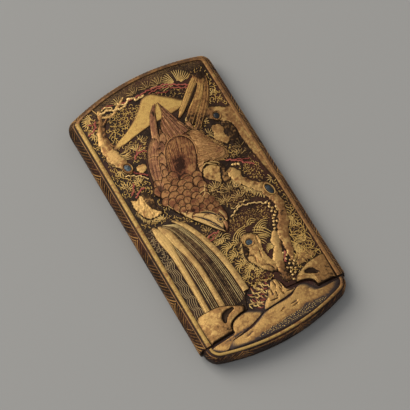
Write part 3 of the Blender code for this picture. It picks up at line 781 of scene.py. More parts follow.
water_gold = lacquer(
    "water gold", (0.51, 0.325, 0.115), (0.35, 0.205, 0.075), UMBER, thin=0.25, streak=1.8, along=0.07,
    across=2.6)
OUTER_TONGUE = np.array(
    [(-27.6, 1.6), (-26.4, -3), (-25.7, -8), (-25.4, -14), (-25.4, -24), (-25.5, -34), (-25.8, -45.5)])
INNER_TONGUE = np.array(
    [(-25.2, 0.8), (-23, -4), (-21.6, -10), (-19.8, -18), (-18.8, -26), (-18.6, -36), (-18.7, -46.5)])
RIGHT_TONGUE = np.array(
    [(-18.4, 0.3), (-14.6, -4.4), (-11.5, -11), (-9.1, -18.5), (-7.3, -27), (-6.3, -36), (-5.9, -44.8)])
tongues = [strand(OUTER_TONGUE, (1.6, 5.0, 5.2, 3.7, 3.2, 3.1, 3.0), 0.55, count=60, rough=0.06, section=BARK,
                  tint=(-0.2, 0.3, 0.3, 0.2, 0.3, 0.3, 0.2)),
           strand(INNER_TONGUE, (1.2, 4.4, 4.0, 3.2, 3.0, 2.9, 2.9), 0.55, count=60, rough=0.06, section=BARK,
                  tint=-0.05, seed=5),
           strand(RIGHT_TONGUE, (1.0, 2.4, 2.8, 3.1, 3.1, 3.3, 3.4), 0.6, count=60, rough=0.06, section=BARK,
                  tint=-0.1, seed=9)]

# Fine dark lines run down each tongue.
fine_lines = []
for line, places in (
        (OUTER_TONGUE, (-1.0, 0.1, 1.1)), (INNER_TONGUE, (-0.9, 0.6)), (RIGHT_TONGUE, (-0.9, 0.2, 1.0))):
    path = curve(line, 30)[3:]
    run = np.gradient(path, axis=0)
    across = np.stack([-run[:, 1], run[:, 0]], 1) / np.linalg.norm(run, axis=1)[:, None]
    fine_lines += [path + across * (place + 0.12 * np.sin(0.5 * path[:, 1:] + 3 * place)) for place in places]
tongues.append(strokes(fine_lines, 0.22, 0.62, tints=np.tile((-0.7, -0.3), 4), side_edge=1.0))
relief("waterfall_tongues", tongues, water_gold)

rng = np.random.default_rng(11)


def threads(first, second, shares, count=26):
    """Paths at shares of the way between two paths, each a little unsteady and hooked over at its top."""
    start, finish = curve(first, count), curve(second, count)
    shares = np.asarray(shares)[:, None]
    paths = start[None] + (finish - start)[None] * shares[..., None]
    wobble = np.cumsum(rng.normal(0, 0.03, paths.shape[:2]), 1)
    paths[..., 0] += wobble - wobble.mean(1, keepdims=True)
    hook = np.clip(1 - np.linspace(0, 7, count), 0, 1) ** 2
    paths[..., 0] -= hook * 4.0 * shares
    low = np.clip(-paths[..., 1] - 38, 0, 9) / 9
    paths[..., 1] -= 3.4 * low * np.sin(math.pi * shares ** 1.3)
    return paths


thread_paths = np.concatenate(
    [threads(INNER_TONGUE, RIGHT_TONGUE, np.linspace(0.15, 0.88, 13)),
     threads(OUTER_TONGUE, INNER_TONGUE, np.linspace(0.36, 0.72, 4))])
thread_tints = np.where(
    rng.random(len(thread_paths)) < 0.4, rng.uniform(0.0, 0.4, len(thread_paths)),
    rng.uniform(-1.3, -0.6, len(thread_paths)))
thread_widths = rng.uniform(0.22, 0.48, len(thread_paths))[:, None]
thread_gold = lacquer("thread gold", (0.56, 0.40, 0.17), (0.24, 0.14, 0.06), DARK, thin=0.2, metallic=0.4)
relief("waterfall_threads", [strokes(thread_paths, thread_widths, 0.3, tints=thread_tints)], thread_gold)

# The trunks and the arm: gnarled wood modelled in lacquer paste, combed with bark and hollowed by gouges,
# then dusted with brown gold that is rubbed bright on top and dark where it is hollow.


def share_from(x, y, path, widths):
    """How far out from a path, nought on it and one at its half width, the least over its stations."""
    stations = curve(np.column_stack([path, np.broadcast_to(np.asarray(widths, float), len(path))]), 40) * MM
    away = np.hypot(np.subtract.outer(np.asarray(x, float), stations[:, 0]),
                    np.subtract.outer(np.asarray(y, float), stations[:, 1]))
    return (away / (stations[:, 2] / 2)).min(-1)


def dented(shape, path, widths, depth, darken):
    """Sinks and darkens a shape along a path, as a gouge with soft sides."""
    verts, faces, edge, tint, flow = shape
    near = np.clip(1.25 - share_from(verts[:, 0], verts[:, 1], path, widths), 0.0, 1.0)
    near = near * near * (3 - 2 * near)
    verts = verts.copy()
    verts[:, 2] -= np.where(edge > 0.02, depth * MM * near, 0.0)
    return verts, faces, edge, tint - darken * near, flow


bark = lacquer(
    "bark gold", (0.50, 0.30, 0.105), (0.25, 0.12, 0.045), DARK, thin=0.2, streak=0.8, along=0.4, across=1.0)
upper_arm = strand(
    [(16.4, 9.2), (17.6, 6), (18.4, 2.6), (20.6, -0.8), (23.6, -4), (26.6, -7.2), (27.8, -11.6), (28.2, -16)],
    (3.4, 6.0, 5.0, 4.2, 4.8, 6.4, 5.6, 4.0), 0.55, count=130, section=BARK, rough=0.16, size=2.6, seed=6,
    ragged=0.75, tint=(0.1, 0.3, 0.3, 0.2, 0.0, -0.5, -0.6, -0.6))
for gouge in ([(16.4, 6.4), (17.4, 4.4)], [(19.6, 2), (21.4, -0.6)], [(23.6, -2.6), (25.2, -4.4)],
              [(15.6, 8.4), (17.4, 8)]):
    upper_arm = dented(upper_arm, gouge, 0.8, 0.3, 1.0)
upper_arm = shaded(
    upper_arm,
    ((22, 4, 1.6, 5, -0.9), (24.4, -1.8, 2, 1.6, -0.7), (17.4, 3.4, 0.8, 0.8, -1.4), (24.6, -6, 1, 3, 0.5)))
brown_stem = strand(
    [(28, -12), (28.4, -16), (27.6, -20), (26, -24), (23.6, -27.6), (22, -31), (21.6, -35), (20.6, -39.4),
     (19.6, -43)],
    (4.0, 4.6, 4.2, 5.4, 5.8, 5.4, 4.4, 3.4, 1.4), 0.6, count=110, section=BARK, rough=0.06, size=4, seed=16,
    ragged=0.7, tint=-0.55)
brown_stem = shaded(brown_stem, ((27, -21, 2, 2, -0.3), (21.6, -33, 2, 2.4, 0.35), (24.6, -28, 2, 2, 0.2)))
pale_foot = strand(
    [(19.4, -27.2), (17.8, -30.6), (17.4, -34), (15, -37.6), (13.6, -41), (13.4, -45.4), (12.9, -50.4)],
    (2.4, 5.0, 4.6, 5.4, 5.0, 4.4, 3.2), 0.7, count=100, section=BARK, rough=0.08, size=4, seed=26,
    ragged=0.5, tint=(0.2, 0.35, 0.35, 0.2, 0.0, -0.8, -1.2))
pale_foot = dented(pale_foot, [(20.3, -31), (19.4, -34), (18, -37)], (1.2, 2.2, 1.2), 0.4, 2.4)
pale_foot = shaded(pale_foot, ((13.4, -42, 1.6, 1.4, -0.6), (16, -44.6, 2.4, 2.2, -0.9)))
RIGHT_INLAY_PLACE = [(27.0, -5.2), (28.4, -10.2)]
upper_arm = dented(upper_arm, RIGHT_INLAY_PLACE, (2.5, 2.5), 0.7, 0.3)
brown_stem = dented(brown_stem, RIGHT_INLAY_PLACE, (2.5, 2.5), 0.7, 0.3)
left_trunk = strand(
    [(-21.4, 64), (-22, 61), (-24, 57.4), (-26.2, 53.4), (-27, 50), (-27, 46), (-26.6, 42), (-25.4, 38.6),
     (-23.8, 34), (-22.6, 29.6)],
    (1.6, 2.4, 2.2, 2.8, 4.6, 5.4, 7.0, 6.6, 5.0, 2.6), 0.6, count=130, section=BARK, rough=0.14, size=3,
    tint=0.1, ragged=0.8)
for gouge in ([(-27.6, 50), (-28.2, 46), (-27.8, 43)], [(-25.6, 48), (-25.4, 44.6)],
              [(-24.8, 38), (-23.4, 34)], [(-27, 40), (-25.8, 36)]):
    left_trunk = dented(left_trunk, gouge, (0.5, 0.9, 0.5)[:len(gouge)], 0.3, 1.0)
left_trunk = shaded(
    left_trunk,
    ((-24, 60, 3, 5, -0.8), (-24, 31.5, 4, 4, -0.8), (-28.6, 44, 1.2, 3, -0.7), (-25.4, 51, 1.4, 3, -0.7),
     (-26, 40, 2.0, 2.0, 0.5), (-24.6, 36, 1, 2, 0.4)))
side_trunk = boss(
    [(20.8, 41.4), (24, 41.2), (28, 39.6), (31, 37.5), (34.2, 36), (34.4, 20), (34.4, 0), (33.4, -7),
     (32.4, -3), (31.6, 2), (31, 8), (30.3, 14), (29.7, 20), (30, 25), (28.8, 29.5), (26, 31.5), (23.4, 33.5),
     (21, 36), (20.6, 39)], 0.5, count=170, rings=16, flat=0.75, rough=0.1, size=5, middle=(31.4, 30),
    tint=-0.4, ragged=0.45, seed=3, turn=1.5)
side_trunk = shaded(
    side_trunk, ((22.4, 39.4, 2.4, 2.6, -0.7), (33.4, 20, 1.2, 18, 0.35), (27, 37, 3, 1.6, 0.3)))
relief("trunks",
       [left_trunk, upper_arm, brown_stem, pale_foot, side_trunk,
        strand([(-23.6, 66.4), (-22.8, 64), (-21.6, 61)], (0.5, 0.9, 1.0), 0.6, tint=0.2),
        strand([(-19.6, 59), (-22.6, 56.6), (-24.4, 53), (-24.8, 49.6), (-23.9, 46), (-22.6, 44.8)],
               (0.8, 1.8, 1.9, 1.8, 1.4, 0.5), 0.45, count=50, section=BARK, tint=-1.0, ragged=0.2, seed=4),
        strand([(-21.4, 60.6), (-18, 59), (-15, 59.6), (-13, 61.2), (-10.6, 62.4), (-8, 64.4)],
               (1.4, 1.4, 1.6, 2.0, 1.6, 0.8), 0.5, count=50, section=BARK, rough=0.1, tint=-0.2, ragged=0.3,
               seed=5)], bark)

# The rocks: built up from the same paste and dusted with gold, with clefts and hollows that stay dark and
# edges rubbed bright. Low dark masses beside three of them are painted shadows.
rock_gold = lacquer(
    "rock gold", (0.53, 0.32, 0.11), (0.30, 0.155, 0.055), DARK, thin=0.25, streak=0.4, along=0.6, across=0.6)
crag = boss([(4.2, -21.6), (6.4, -21), (9, -21.6), (11.4, -23.8), (12.3, -27), (11, -30), (10.6, -34),
             (11.4, -38), (12.8, -41), (11.6, -44.2), (8.4, -43.4), (5.4, -40.6), (3.4, -37), (1.6, -33.4),
             (3.4, -31), (4.8, -28.6), (3.6, -25)], 0.75, rough=0.12, size=3.4, ragged=0.45, count=140,
            rings=18, middle=(8, -33), seed=7, tint=-0.1)
for gouge in ([(3.4, -31.6), (5.4, -33), (5, -36)], [(8.8, -31.4), (8.2, -34.4)],
              [(6.2, -38.4), (9, -39.6), (10.4, -42.4)], [(10.8, -24.6), (10.4, -28)]):
    crag = dented(crag, gouge, (0.5, 1.0, 0.5)[:len(gouge)], 0.35, 1.1)
crag = dented(crag, [(5.6, -26), (7, -26)], (3.0, 3.0), 0.7, 0.6)
crag = shaded(
    crag,
    ((6.8, -34, 1.2, 1.6, 0.6), (9.4, -37, 1.0, 2.0, 0.6), (3.6, -34.6, 1, 1.6, 0.5),
     (8, -22.6, 3, 1.4, -0.3), (10.6, -42, 2.0, 2.2, -0.8)))
relief("rocks",
       [crag,
        boss([(20.4, -46.4), (21.2, -42.4), (24, -39.9), (28, -41), (30.4, -45), (26, -46.2)], 0.3,
             rough=0.15, ragged=0.3, count=60, rings=8, tint=-0.75, seed=17),
        shaded(boss([(5, 13), (6.8, 15.2), (9.6, 15.6), (12.6, 15), (13.7, 12.6), (12.6, 9.4), (11.5, 7),
                     (10.4, 4.6), (9, 6.4), (6.6, 8.5), (4.8, 10.4)], 0.35, rough=0.12, ragged=0.4, count=90,
                    rings=12, flat=0.85, tint=0.0),
               ((12.8, 8, 1.4, 4, -0.8), (7, 13.4, 2, 1.4, 0.3), (8.4, 9.6, 0.7, 0.8, -1.1),
                (10.4, 12.4, 0.7, 1.6, -0.8), (6.4, 11.2, 0.6, 0.9, -0.7))),
        boss([(13.6, 14.2), (15.4, 13), (15.4, 9), (15, 5), (14, 2.2), (12.2, 3), (11.8, 6.5), (13.6, 10)],
             0.4, rough=0.1, count=60, rings=8, tint=-1.15, seed=12),
        shaded(boss([(20, 31.6), (23.6, 31.6), (25.2, 28.6), (24, 25.6), (25, 22.4), (23, 20.2), (20.8, 21.8),
                     (18.4, 25.2), (19.4, 28.2)], 0.5, rough=0.1, ragged=0.35, count=90, rings=12, seed=3,
                    tint=-0.35),
               ((21.4, 30.6, 2, 1, -0.5), (20, 23.4, 1.4, 1.4, -0.5), (22, 26, 1.4, 3, 0.3))),
        # Painted shadow: a low dark mass to the right of the rock above, where its shadow falls.
        boss([(25, 31.2), (27.6, 31.4), (29.6, 28), (29.8, 23), (28.2, 19.8), (25.4, 19.4), (24.6, 22.5),
              (25.4, 26)], 0.35, rough=0.1, ragged=0.4, count=80, rings=10, tint=-1.35, seed=13),
        shaded(boss([(-29.8, 18.4), (-27.2, 17.2), (-25.4, 18.6), (-24.2, 18), (-24, 13.6), (-22.8, 9.6),
                     (-20.8, 7), (-19.8, 5.4), (-23.4, 5), (-26.8, 6), (-28.8, 9), (-30.2, 13)], 0.5,
                    rough=0.22, size=2.2, ragged=0.5, count=110, rings=16, flat=0.8, tint=0.4, seed=5),
               ((-28, 18, 3, 2, -0.8), (-29.4, 12, 0.7, 0.8, -1.2), (-26.4, 10, 0.5, 0.5, -1.2),
                (-25, 14, 0.5, 0.7, -1.0), (-27.6, 14.6, 0.5, 0.5, -1.0), (-24, 6.4, 2, 1, -0.4),
                (-27.6, 9.6, 0.4, 2.4, -0.9), (-24.6, 9.4, 0.35, 2.0, -0.8), (-26.2, 16.6, 0.4, 1.2, -0.8),
                (-28.6, 15.2, 0.4, 1.4, -0.7))),
        # Painted shadow: a low dark mass to the right of the left rock.
        boss([(-24.2, 19), (-21.4, 19.2), (-20.2, 15), (-20.6, 10), (-19.4, 6.4), (-21.6, 6.2), (-23.4, 9),
              (-24.4, 13)], 0.35, rough=0.1, count=60, rings=8, tint=-1.45, seed=14),
        boss([(-19.8, 31), (-16.2, 31.2), (-15, 29), (-17.2, 27), (-19.6, 27.8)], 0.45, rough=0.08,
             ragged=0.3, count=60, rings=8, tint=0.0, seed=8),
        # Painted shade: a low dark mass in the hollow at the crag's left side.
        boss([(4.6, -22), (1.4, -22.6), (0.8, -26), (1.6, -30), (3, -31.4), (4.8, -28.6), (4, -25)], 0.3,
             rough=0.15, count=60, rings=8, tint=-1.3, seed=15)], rock_gold)

# The knot-holes: four small discs of blue-grey shell with dark veins, domed, polished and set flush in
# pockets in the wood. A raised rim of bark lacquer holds each one.
inlay_boxes = [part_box("shell_inlay_" + place) for place in ("left", "top", "right", "low")]
INLAY_TURNS = (0.35, 0.0, 0.25, -0.3)
INLAY_TINTS = (-0.2, -1.0, -0.7, -0.35)
RIM_TINTS = (-0.2, -0.7, 0.1, 0.0)


def oval(centre, radii, turn, count=24):
    """Points round a turned oval."""
    angles = np.linspace(0.0, 2 * math.pi, count, endpoint=False)
    x, y = radii[0] * np.cos(angles), radii[1] * np.sin(angles)
    return np.stack([centre[0] + x * math.cos(turn) - y * math.sin(turn),
                     centre[1] + x * math.sin(turn) + y * math.cos(turn)], 1)


shell_paint = bpy.data.materials.new("blue shell")
shell_paint.use_nodes = True
shell_tree = shell_paint.node_tree
shell_shader = shell_tree.nodes["Principled BSDF"]
shell_place = add_node(shell_tree, "ShaderNodeTexCoord").outputs["Object"]
shell_clouds = noise(shell_tree, shell_place, 500.0, 4.0)
shell_veins = noise(shell_tree, shell_place, 1400.0, 2.0)
shell_colour = blend_colours(
    shell_tree, spread(shell_tree, shell_clouds, 0.35, 0.65), (0.030, 0.045, 0.055), (0.12, 0.17, 0.195))
shell_colour = blend_colours(
    shell_tree, spread(shell_tree, shell_veins, 0.5, 0.62), shell_colour, (0.02, 0.025, 0.03))
shell_dark = spread(shell_tree, value_node(shell_tree, "tint"), 0.0, -1.0)
shell_colour = blend_colours(shell_tree, shell_dark, shell_colour, (0.012, 0.013, 0.015))
shell_tree.links.new(shell_colour, shell_shader.inputs["Base Color"])
shell_shader.inputs["Roughness"].default_value = 0.3
shell_shader.inputs["Coat Weight"].default_value = 0.05
shell_shader.inputs["Specular IOR Level"].default_value = 0.2
rims = []
for box, turn, rim_tint, inlay_tint, name in zip(
        inlay_boxes, INLAY_TURNS, RIM_TINTS, INLAY_TINTS, ("left", "top", "right", "low")):
    centre = ((box[0] + box[1]) / 2 / MM)[:2]
    reach = ((box[1] - box[0]) / 2 / MM)[:2]
    disc = boss(oval(centre, reach, turn), (box[1].z - cover_front(centre[0] * MM, centre[1] * MM)) / MM,
                count=40, rings=6, flat=0.5, middle=centre, tint=inlay_tint)
    inlay = relief("shell_inlay_" + name + "_domed", [disc], shell_paint)
    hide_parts("shell_inlay_" + name)
    ring = oval(centre, (reach[0] + 0.45, reach[1] + 0.45), turn)
    rims.append(strand(np.concatenate([ring, ring[:2]]), 0.9, 1.15, count=60, rough=0.1, tint=rim_tint))
relief("knot_rims", rims, bark)

# The bird's body: an eagle head down, a domed body of paste with the back's round mantle over it, covered
# in gold and hatched with fine lines.
bird_gold = lacquer(
    "bird gold", (0.385, 0.19, 0.072), (0.185, 0.07, 0.034), (0.03, 0.014, 0.010), thin=0.35, streak=1.3,
    along=0.25, across=3.2)
BODY_SPINE = [(-3, 37), (-3.5, 30), (-5, 20), (-6.5, 10), (-6, 2), (-3, -5), (1, -13)]
BODY_WIDTHS = (22, 30, 28, 24, 19, 14, 7)


def on_bird(x, y):
    """The cover's front with the bird's domed body on it: it falls as a quarter round from its spine."""
    share = np.clip(share_from(x, y, BODY_SPINE, BODY_WIDTHS), 0.0, 1.0)
    return cover_front(x, y) + 0.75 * MM * np.sqrt(1 - share * share)


BODY = [(-5, 39.5), (-8.6, 38), (-11.4, 35), (-15, 29.5), (-17.2, 21.5), (-17.4, 16), (-16.8, 11), (-15, 6.2),
        (-13.2, 2), (-11.4, -1.6), (-8.7, -5.3), (-6, -8.8), (-3.3, -12.2), (-1.5, -15), (0.4, -16.8),
        (2.6, -14.4), (4.4, -12.1), (5.3, -8.6), (4.8, -4), (2.4, -0.4), (1.0, 4), (3.6, 11), (5.6, 18),
        (8.4, 27), (9.6, 34), (8, 39.5), (2, 40.5)]
BIRD_SHADE = ((-0.6, 24.2, 2.6, 2.4, -1.7), (-2.6, 20.8, 3.4, 2.4, -1.6), (-4.8, 17.2, 2.0, 1.6, -1.2),
              (1.0, 18.2, 1.4, 1.0, 0.7), (-1.4, 17.0, 1.8, 1.0, -0.8),
              (-15.2, 16, 0.9, 1.2, -1.4), (-10.6, 0.6, 0.9, 0.9, -1.6), (-7.8, -0.6, 1.1, 0.9, -1.6),
              (-14, 25, 1.4, 3.4, -0.9), (-5.4, 35, 2.4, 1.6, -0.6))
bird = [shaded(boss(BODY, 0.3, on_bird, count=140, rings=16, middle=(-4, 16), rough=0.05, flat=0.9, turn=1.45,
                    tint=-0.5), BIRD_SHADE)]
MANTLE = [(-7.4, 22), (-6.6, 27), (-4.6, 31), (-1, 34.4), (3.4, 35.2), (7.2, 33), (9, 28.6), (8, 23.4),
          (5.4, 18.4), (2.8, 14.6), (-0.6, 13.4), (-4.4, 15.6), (-6.8, 18.4)]
bird.append(shaded(boss(MANTLE, 0.35, on_bird, lift=0.3, count=72, rings=10, flat=0.8, turn=1.45, tint=0.0),
                   BIRD_SHADE))
rim_line = curve(MANTLE, 40, True)
bird.append(strand(rim_line[4:23], 0.6, 0.25, on_bird, lift=0.5, count=50, tint=0.45))
hatch_x = np.linspace(-6.0, 8.2, 27)
hatch_top = np.interp(hatch_x, (-6.6, -4, -1, 3.4, 7.2, 8.8), (26, 31, 33.8, 34.6, 32.6, 28))
hatch_low = hatch_top - np.interp(hatch_x, (-6.6, 0, 8.8), (8, 15, 14)) * (0.8 + 0.2 * np.sin(5.0 * hatch_x))
share = np.linspace(0, 1, 6)[None]
hatches = np.stack(
    [hatch_x[:, None] - (1 - share) * (0.2 * (hatch_x[:, None] - 1) + 3.4),
     hatch_low[:, None] + (hatch_top - hatch_low)[:, None] * share], -1)
bird.append(shaded(strokes(hatches, (0.16, 0.28, 0.28, 0.28, 0.28, 0.16), 0.12, on_bird, lift=0.62,
                           tints=np.where(np.arange(27) % 3 == 0, 0.6, -1.3), side_edge=1.0), BIRD_SHADE))
relief("bird_body", bird, bird_gold)

# The scale feathers: small round feathers of gold, each with a raised rim. They are laid in rows with their
# tips towards the tail, and the rows nearer the head lie over the next.


def tilted(front, root, tip, low, high):
    """A front raised by a slope that runs from one height at the root to another at the tip."""
    root, run = np.array(root) * MM, (np.array(tip) - root) * MM

    def height(x, y):
        share = ((x - root[0]) * run[0] + (y - root[1]) * run[1]) / (run @ run)
        return front(x, y) + (low + (high - low) * np.clip(share, 0.0, 1.0)) * MM

    return height


def scale_feather(root, tip, width, front=on_bird, tint=0.0, low=0.1, high=0.55):
    """A short broad feather: straight sides from the root, a round tip, a lip along its edge."""
    root, tip = np.array(root, float), np.array(tip, float)
    run = tip - root
    across = np.array((run[1], -run[0])) / np.hypot(*run) * width / 2
    shape = ((0.0, -0.5), (0.3, -0.86), (0.56, -1.0), (0.8, -0.74), (0.94, -0.36), (1.0, 0.0), (0.94, 0.36),
             (0.8, 0.74), (0.56, 1.0), (0.3, 0.86), (0.0, 0.5))
    outline = [root + run * u + across * v for u, v in shape]
    return boss(outline, 0.3, tilted(front, root, tip, low, high), count=28, rings=7, flat=0.75, rim=0.3,
                tint=tint, turn=math.atan2(run[1], run[0]), spacing=1.2, crevice=0.75)


rng = np.random.default_rng(21)
scales = []

# Each row: the line that its roots stand on, from left to right, the feathers in it, their length and width.
SCALE_ROWS = (((-4.2, -8.2), (1.6, -7.4), 3, 3.2, 2.8), ((-7.2, -5.8), (2.6, -4.4), 4, 3.4, 3.2),
              ((-9.4, -3.4), (2.0, -1.8), 5, 3.6, 3.3), ((-11.0, -0.9), (0.6, 0.8), 5, 3.8, 3.4),
              ((-13.2, 1.8), (-0.4, 3.4), 5, 4.0, 3.8), ((-13.6, 4.6), (0.8, 5.8), 5, 4.2, 4.2),
              ((-15.2, 7.4), (0.0, 8.4), 5, 4.3, 4.4), ((-14.4, 10.2), (1.8, 11.0), 5, 4.4, 4.6),
              ((-15.9, 12.6), (-3.0, 13.0), 4, 4.4, 4.5), ((-14.6, 15.2), (-7.4, 15.4), 3, 4.6, 4.2))
for first, last, many, length, width in SCALE_ROWS:
    for share in np.linspace(0.0, 1.0, many):
        root = np.array(first) + (np.array(last) - first) * share + rng.normal(0, 0.25, 2)
        lean = 0.2 - 0.4 * share + rng.normal(0, 0.2)
        tip = root + length * rng.uniform(0.95, 1.3) * np.array((-math.sin(lean), math.cos(lean)))
        scales.append(
            shaded(scale_feather(root, tip, width * rng.uniform(1.05, 1.45), tint=rng.uniform(-0.25, 0.3)),
                   BIRD_SHADE))

# A column of small coverts runs up beside the mantle, tips towards the tail.
COVERT_ROOTS = ((-8.6, 15.5), (-9.2, 18.8), (-9.2, 22.2), (-8.8, 25.6), (-7.6, 29.0))
for k, root in enumerate(COVERT_ROOTS):
    lean = 0.25 - 0.1 * k
    tip = np.array(root) + 5.0 * np.array((-math.sin(lean), math.cos(lean)))
    scales.append(shaded(scale_feather(root, tip, 3.0, tint=0.15 * math.sin(2.1 * k)), BIRD_SHADE))
relief("bird_scale_feathers", scales, bird_gold)

# The wings: long gold feathers, each with a quill, raised rims and combed barbs, laid side by side. The two
# folded wings point over the mountain, and the near one ends in a broad edge feather, split and streaked.
FEATHER = ((-1.0, 0.45), (-0.86, 0.85), (-0.66, 0.7), (-0.16, 0.78), (0.0, 0.98), (0.16, 0.78), (0.66, 0.7),
           (0.86, 0.85), (1.0, 0.45))


def long_feather(root, tip, width, front=on_bird, tint=0.0, lift=0.25, height=0.4, count=20):
    """A long feather from root to tip with a quill and rims: it widens, ends round, and its tip lifts."""
    root, tip = np.array(root, float), np.array(tip, float)
    share = np.array((0.0, 0.2, 0.45, 0.7, 0.86, 0.95, 1.0))
    path = root + (tip - root) * share[:, None]
    return strand(
        path, width * np.array((0.45, 0.75, 0.97, 1.0, 0.82, 0.52, 0.12)), height * (0.5 + 0.5 * share),
        front, count=count, section=FEATHER, fade=1.5, tint=tint, lift=lift)


quill_gold = lacquer(
    "quill gold", (0.36, 0.18, 0.075), (0.20, 0.085, 0.045), DARK, thin=0.35, streak=1.2, along=0.2,
    across=3.2)
wings = [strand([(-6.6, 34), (-5, 39), (-3.4, 43.4), (-1.5, 47.6), (0.3, 51), (3, 54.2)],
                (4.4, 3.8, 3.4, 3.2, 2.4, 0.3), 0.5, on_bird, count=50, section=SLAB,
                tint=(0.0, 0.0, 0.0, -0.4, -0.9, -1.1), lift=0.2)]
PRIMARIES = (
    # the feather's line from root to tip, its greatest width, lift and tint
    ([(9.0, 34.6), (7.6, 40), (6.2, 45), (5.2, 49.4), (4.5, 54)], 3.2, 0.42, -0.4),
    ([(6.6, 34.4), (5.8, 40), (5.0, 44.6), (4.6, 48.4), (4.4, 51.6)], 3.0, 0.36, -0.2),
    ([(4.2, 34.6), (3.8, 39.4), (3.5, 43.6), (3.5, 46.6), (3.9, 49.2)], 2.8, 0.3, 0.0),
    ([(1.9, 34.6), (1.8, 38.8), (1.8, 42.4), (2.1, 45), (2.8, 47)], 2.7, 0.24, -0.1),
    ([(-0.4, 34.6), (-0.2, 38), (0.2, 41.4), (1.0, 44.6)], 2.6, 0.18, 0.1),
    ([(-2.6, 34.6), (-2.2, 38), (-1.4, 41.6)], 2.6, 0.14, 0.0))
barbs = []
for line, width, lift, tint in PRIMARIES:
    many = len(line)
    widths = width * np.interp(np.linspace(0, 1, many), (0, 0.3, 0.7, 1.0), (0.9, 1.0, 0.75, 0.1))
    wings.append(strand(line, widths, 0.4, on_bird, count=40, section=FEATHER, fade=1.5,
                        tint=np.linspace(tint, tint - 0.7, many), lift=lift))
    path = curve(line, 16)
    for offset in (-0.28, 0.28):
        across = offset * np.interp(np.linspace(0, 1, 16), np.linspace(0, 1, many), widths)
        barbs.append(path + np.column_stack([across, np.zeros(16)]))
left_path = curve([(-6.6, 34), (-5, 39), (-3.4, 43.4), (-1.5, 47.6), (0.3, 51), (3, 54.2)], 16)
barbs += [left_path + (offset, 0.0) for offset in (-1.1, 0.9)]
wings.append(strokes(barbs, 0.26, 0.5, on_bird, lift=0.3, tints=0.9, side_edge=1.0))

# A column of coverts lies on the near wing beside its broad edge feather.
NEAR_COVERTS = (
    ((-11.4, 17.4), (-8.6, 26.6), 3.8), ((-9.6, 22.6), (-6.2, 31.6), 3.8), ((-7.4, 28.2), (-3.4, 36.2), 3.8),
    ((-4.6, 33.4), (-0.8, 39.8), 3.8))
for k, (root, tip, width) in enumerate(NEAR_COVERTS):
    covert = scale_feather(root, tip, width, tint=0.25 * math.sin(2.3 * k) - 0.1, low=0.2, high=0.5)
    wings.append(shaded(covert, BIRD_SHADE))
EDGE_FEATHER = [
    (-16.6, 21.4), (-15.3, 27), (-13.8, 31), (-11.9, 34.9), (-9.6, 37.9), (-7.4, 39.8), (-5.5, 40.2),
    (-4.5, 38.9), (-4.8, 36.6), (-6.4, 33.4), (-8.6, 28.8), (-11, 23.4), (-12.6, 18), (-13.6, 13),
    (-15.2, 12.4), (-16.5, 15)]
wings.append(shaded(boss(EDGE_FEATHER, 0.35, on_bird, lift=0.35, count=64, rings=8, flat=0.8, rim=0.3,
                         turn=1.2, crevice=0.6, spacing=1.2, tint=-0.1, middle=(-11.6, 27.4)), BIRD_SHADE))
edge_lines = np.array([(-15.4, 14.6), (-14.2, 21.6), (-11.8, 28.8), (-8.8, 34.6), (-6.4, 38.0)])
edge_lines = np.stack(
    [curve(edge_lines + offset, 14) for offset in ((-0.9, 0.3), (-0.2, 0.0), (0.5, -0.3), (1.1, -0.7))])
splits = np.array(
    [[(-16.0, 23.6), (-13.6, 24.4), (-11.2, 23.2)], [(-13.4, 31.6), (-10.8, 31.4), (-8.2, 29.8)]])
wings += [strokes(edge_lines, 0.36, 0.36, on_bird, lift=0.34, tints=(-1.9, 0.8, -1.9, 0.7), side_edge=1.0),
          strokes(splits, 0.45, 0.38, on_bird, lift=0.34, tints=-1.7, side_edge=1.0)]
wings += [long_feather((9.8, 35.6), (7.6, 41.4), 2.2, tint=0.5, height=0.8),
          long_feather((12.2, 35), (11.2, 38.8), 2.2, tint=0.3, height=0.7)]
relief("bird_wings", wings, quill_gold)

# The tail: a closed fan of long gold feathers that runs to the upper right, each lying over the next, with
# fine barbs drawn in at both sides of the quill.
tail_gold = lacquer(
    "tail gold", (0.50, 0.285, 0.09), (0.25, 0.115, 0.042), DARK, thin=0.35, streak=1.7, along=0.1,
    across=3.4)
TAIL_FEATHERS = (
    # line from root to tip, widths, height, tints
    ([(9.4, 42.4), (13.4, 45.9), (18.2, 50), (23.2, 54.4), (27.0, 57.8)], (1.0, 3.0, 3.4, 3.6, 2.4), 0.5,
     (-0.6, 0.8, 0.8, 0.5, -1.0)),
    ([(8.6, 33.4), (13.2, 38.6), (17.6, 43), (22.4, 48.0), (26.6, 53.2), (29.2, 58.2)],
     (3.0, 4.6, 5.6, 5.6, 5.0, 3.2), 0.5, (-1.6, -1.3, -0.3, 0.1, -0.2, -1.9)),
    ([(11.4, 29.6), (15.8, 35.0), (20.2, 39.8), (25, 45.6), (28.6, 51.6), (30.8, 57.6)],
     (2.0, 3.4, 4.6, 4.6, 4.0, 2.4), 0.42, (-1.6, -1.3, -0.6, -0.4, -0.7, -1.8)))
tail = [strand(line, widths, height, count=50, section=BARK, tint=tints, lift=0.1)
        for line, widths, height, tints in TAIL_FEATHERS]
tail.append(strand([(14.0, 43.6), (18.4, 47.3), (22.6, 51.1), (25.4, 54)], (0.5, 1.4, 1.3, 0.5), 0.6,
                   count=40, section=SLAB, tint=-2.0, lift=0.1))
for line, widths, height, tints in TAIL_FEATHERS:
    path = curve(line, 20)[3:-2]
    run = np.gradient(path, axis=0)
    side = np.stack([run[:, 1], -run[:, 0]], 1) / np.linalg.norm(run, axis=1)[:, None]
    hair = [path + side * offset * widths[2] for offset in (-0.36, -0.22, -0.08, 0.08, 0.22, 0.36)]
    tail.append(strokes(hair, 0.28, height + 0.15, tints=(0.5, -1.5, 0.3, -1.2, 0.5, -1.5), side_edge=1.0))
relief("bird_tail", tail, tail_gold)

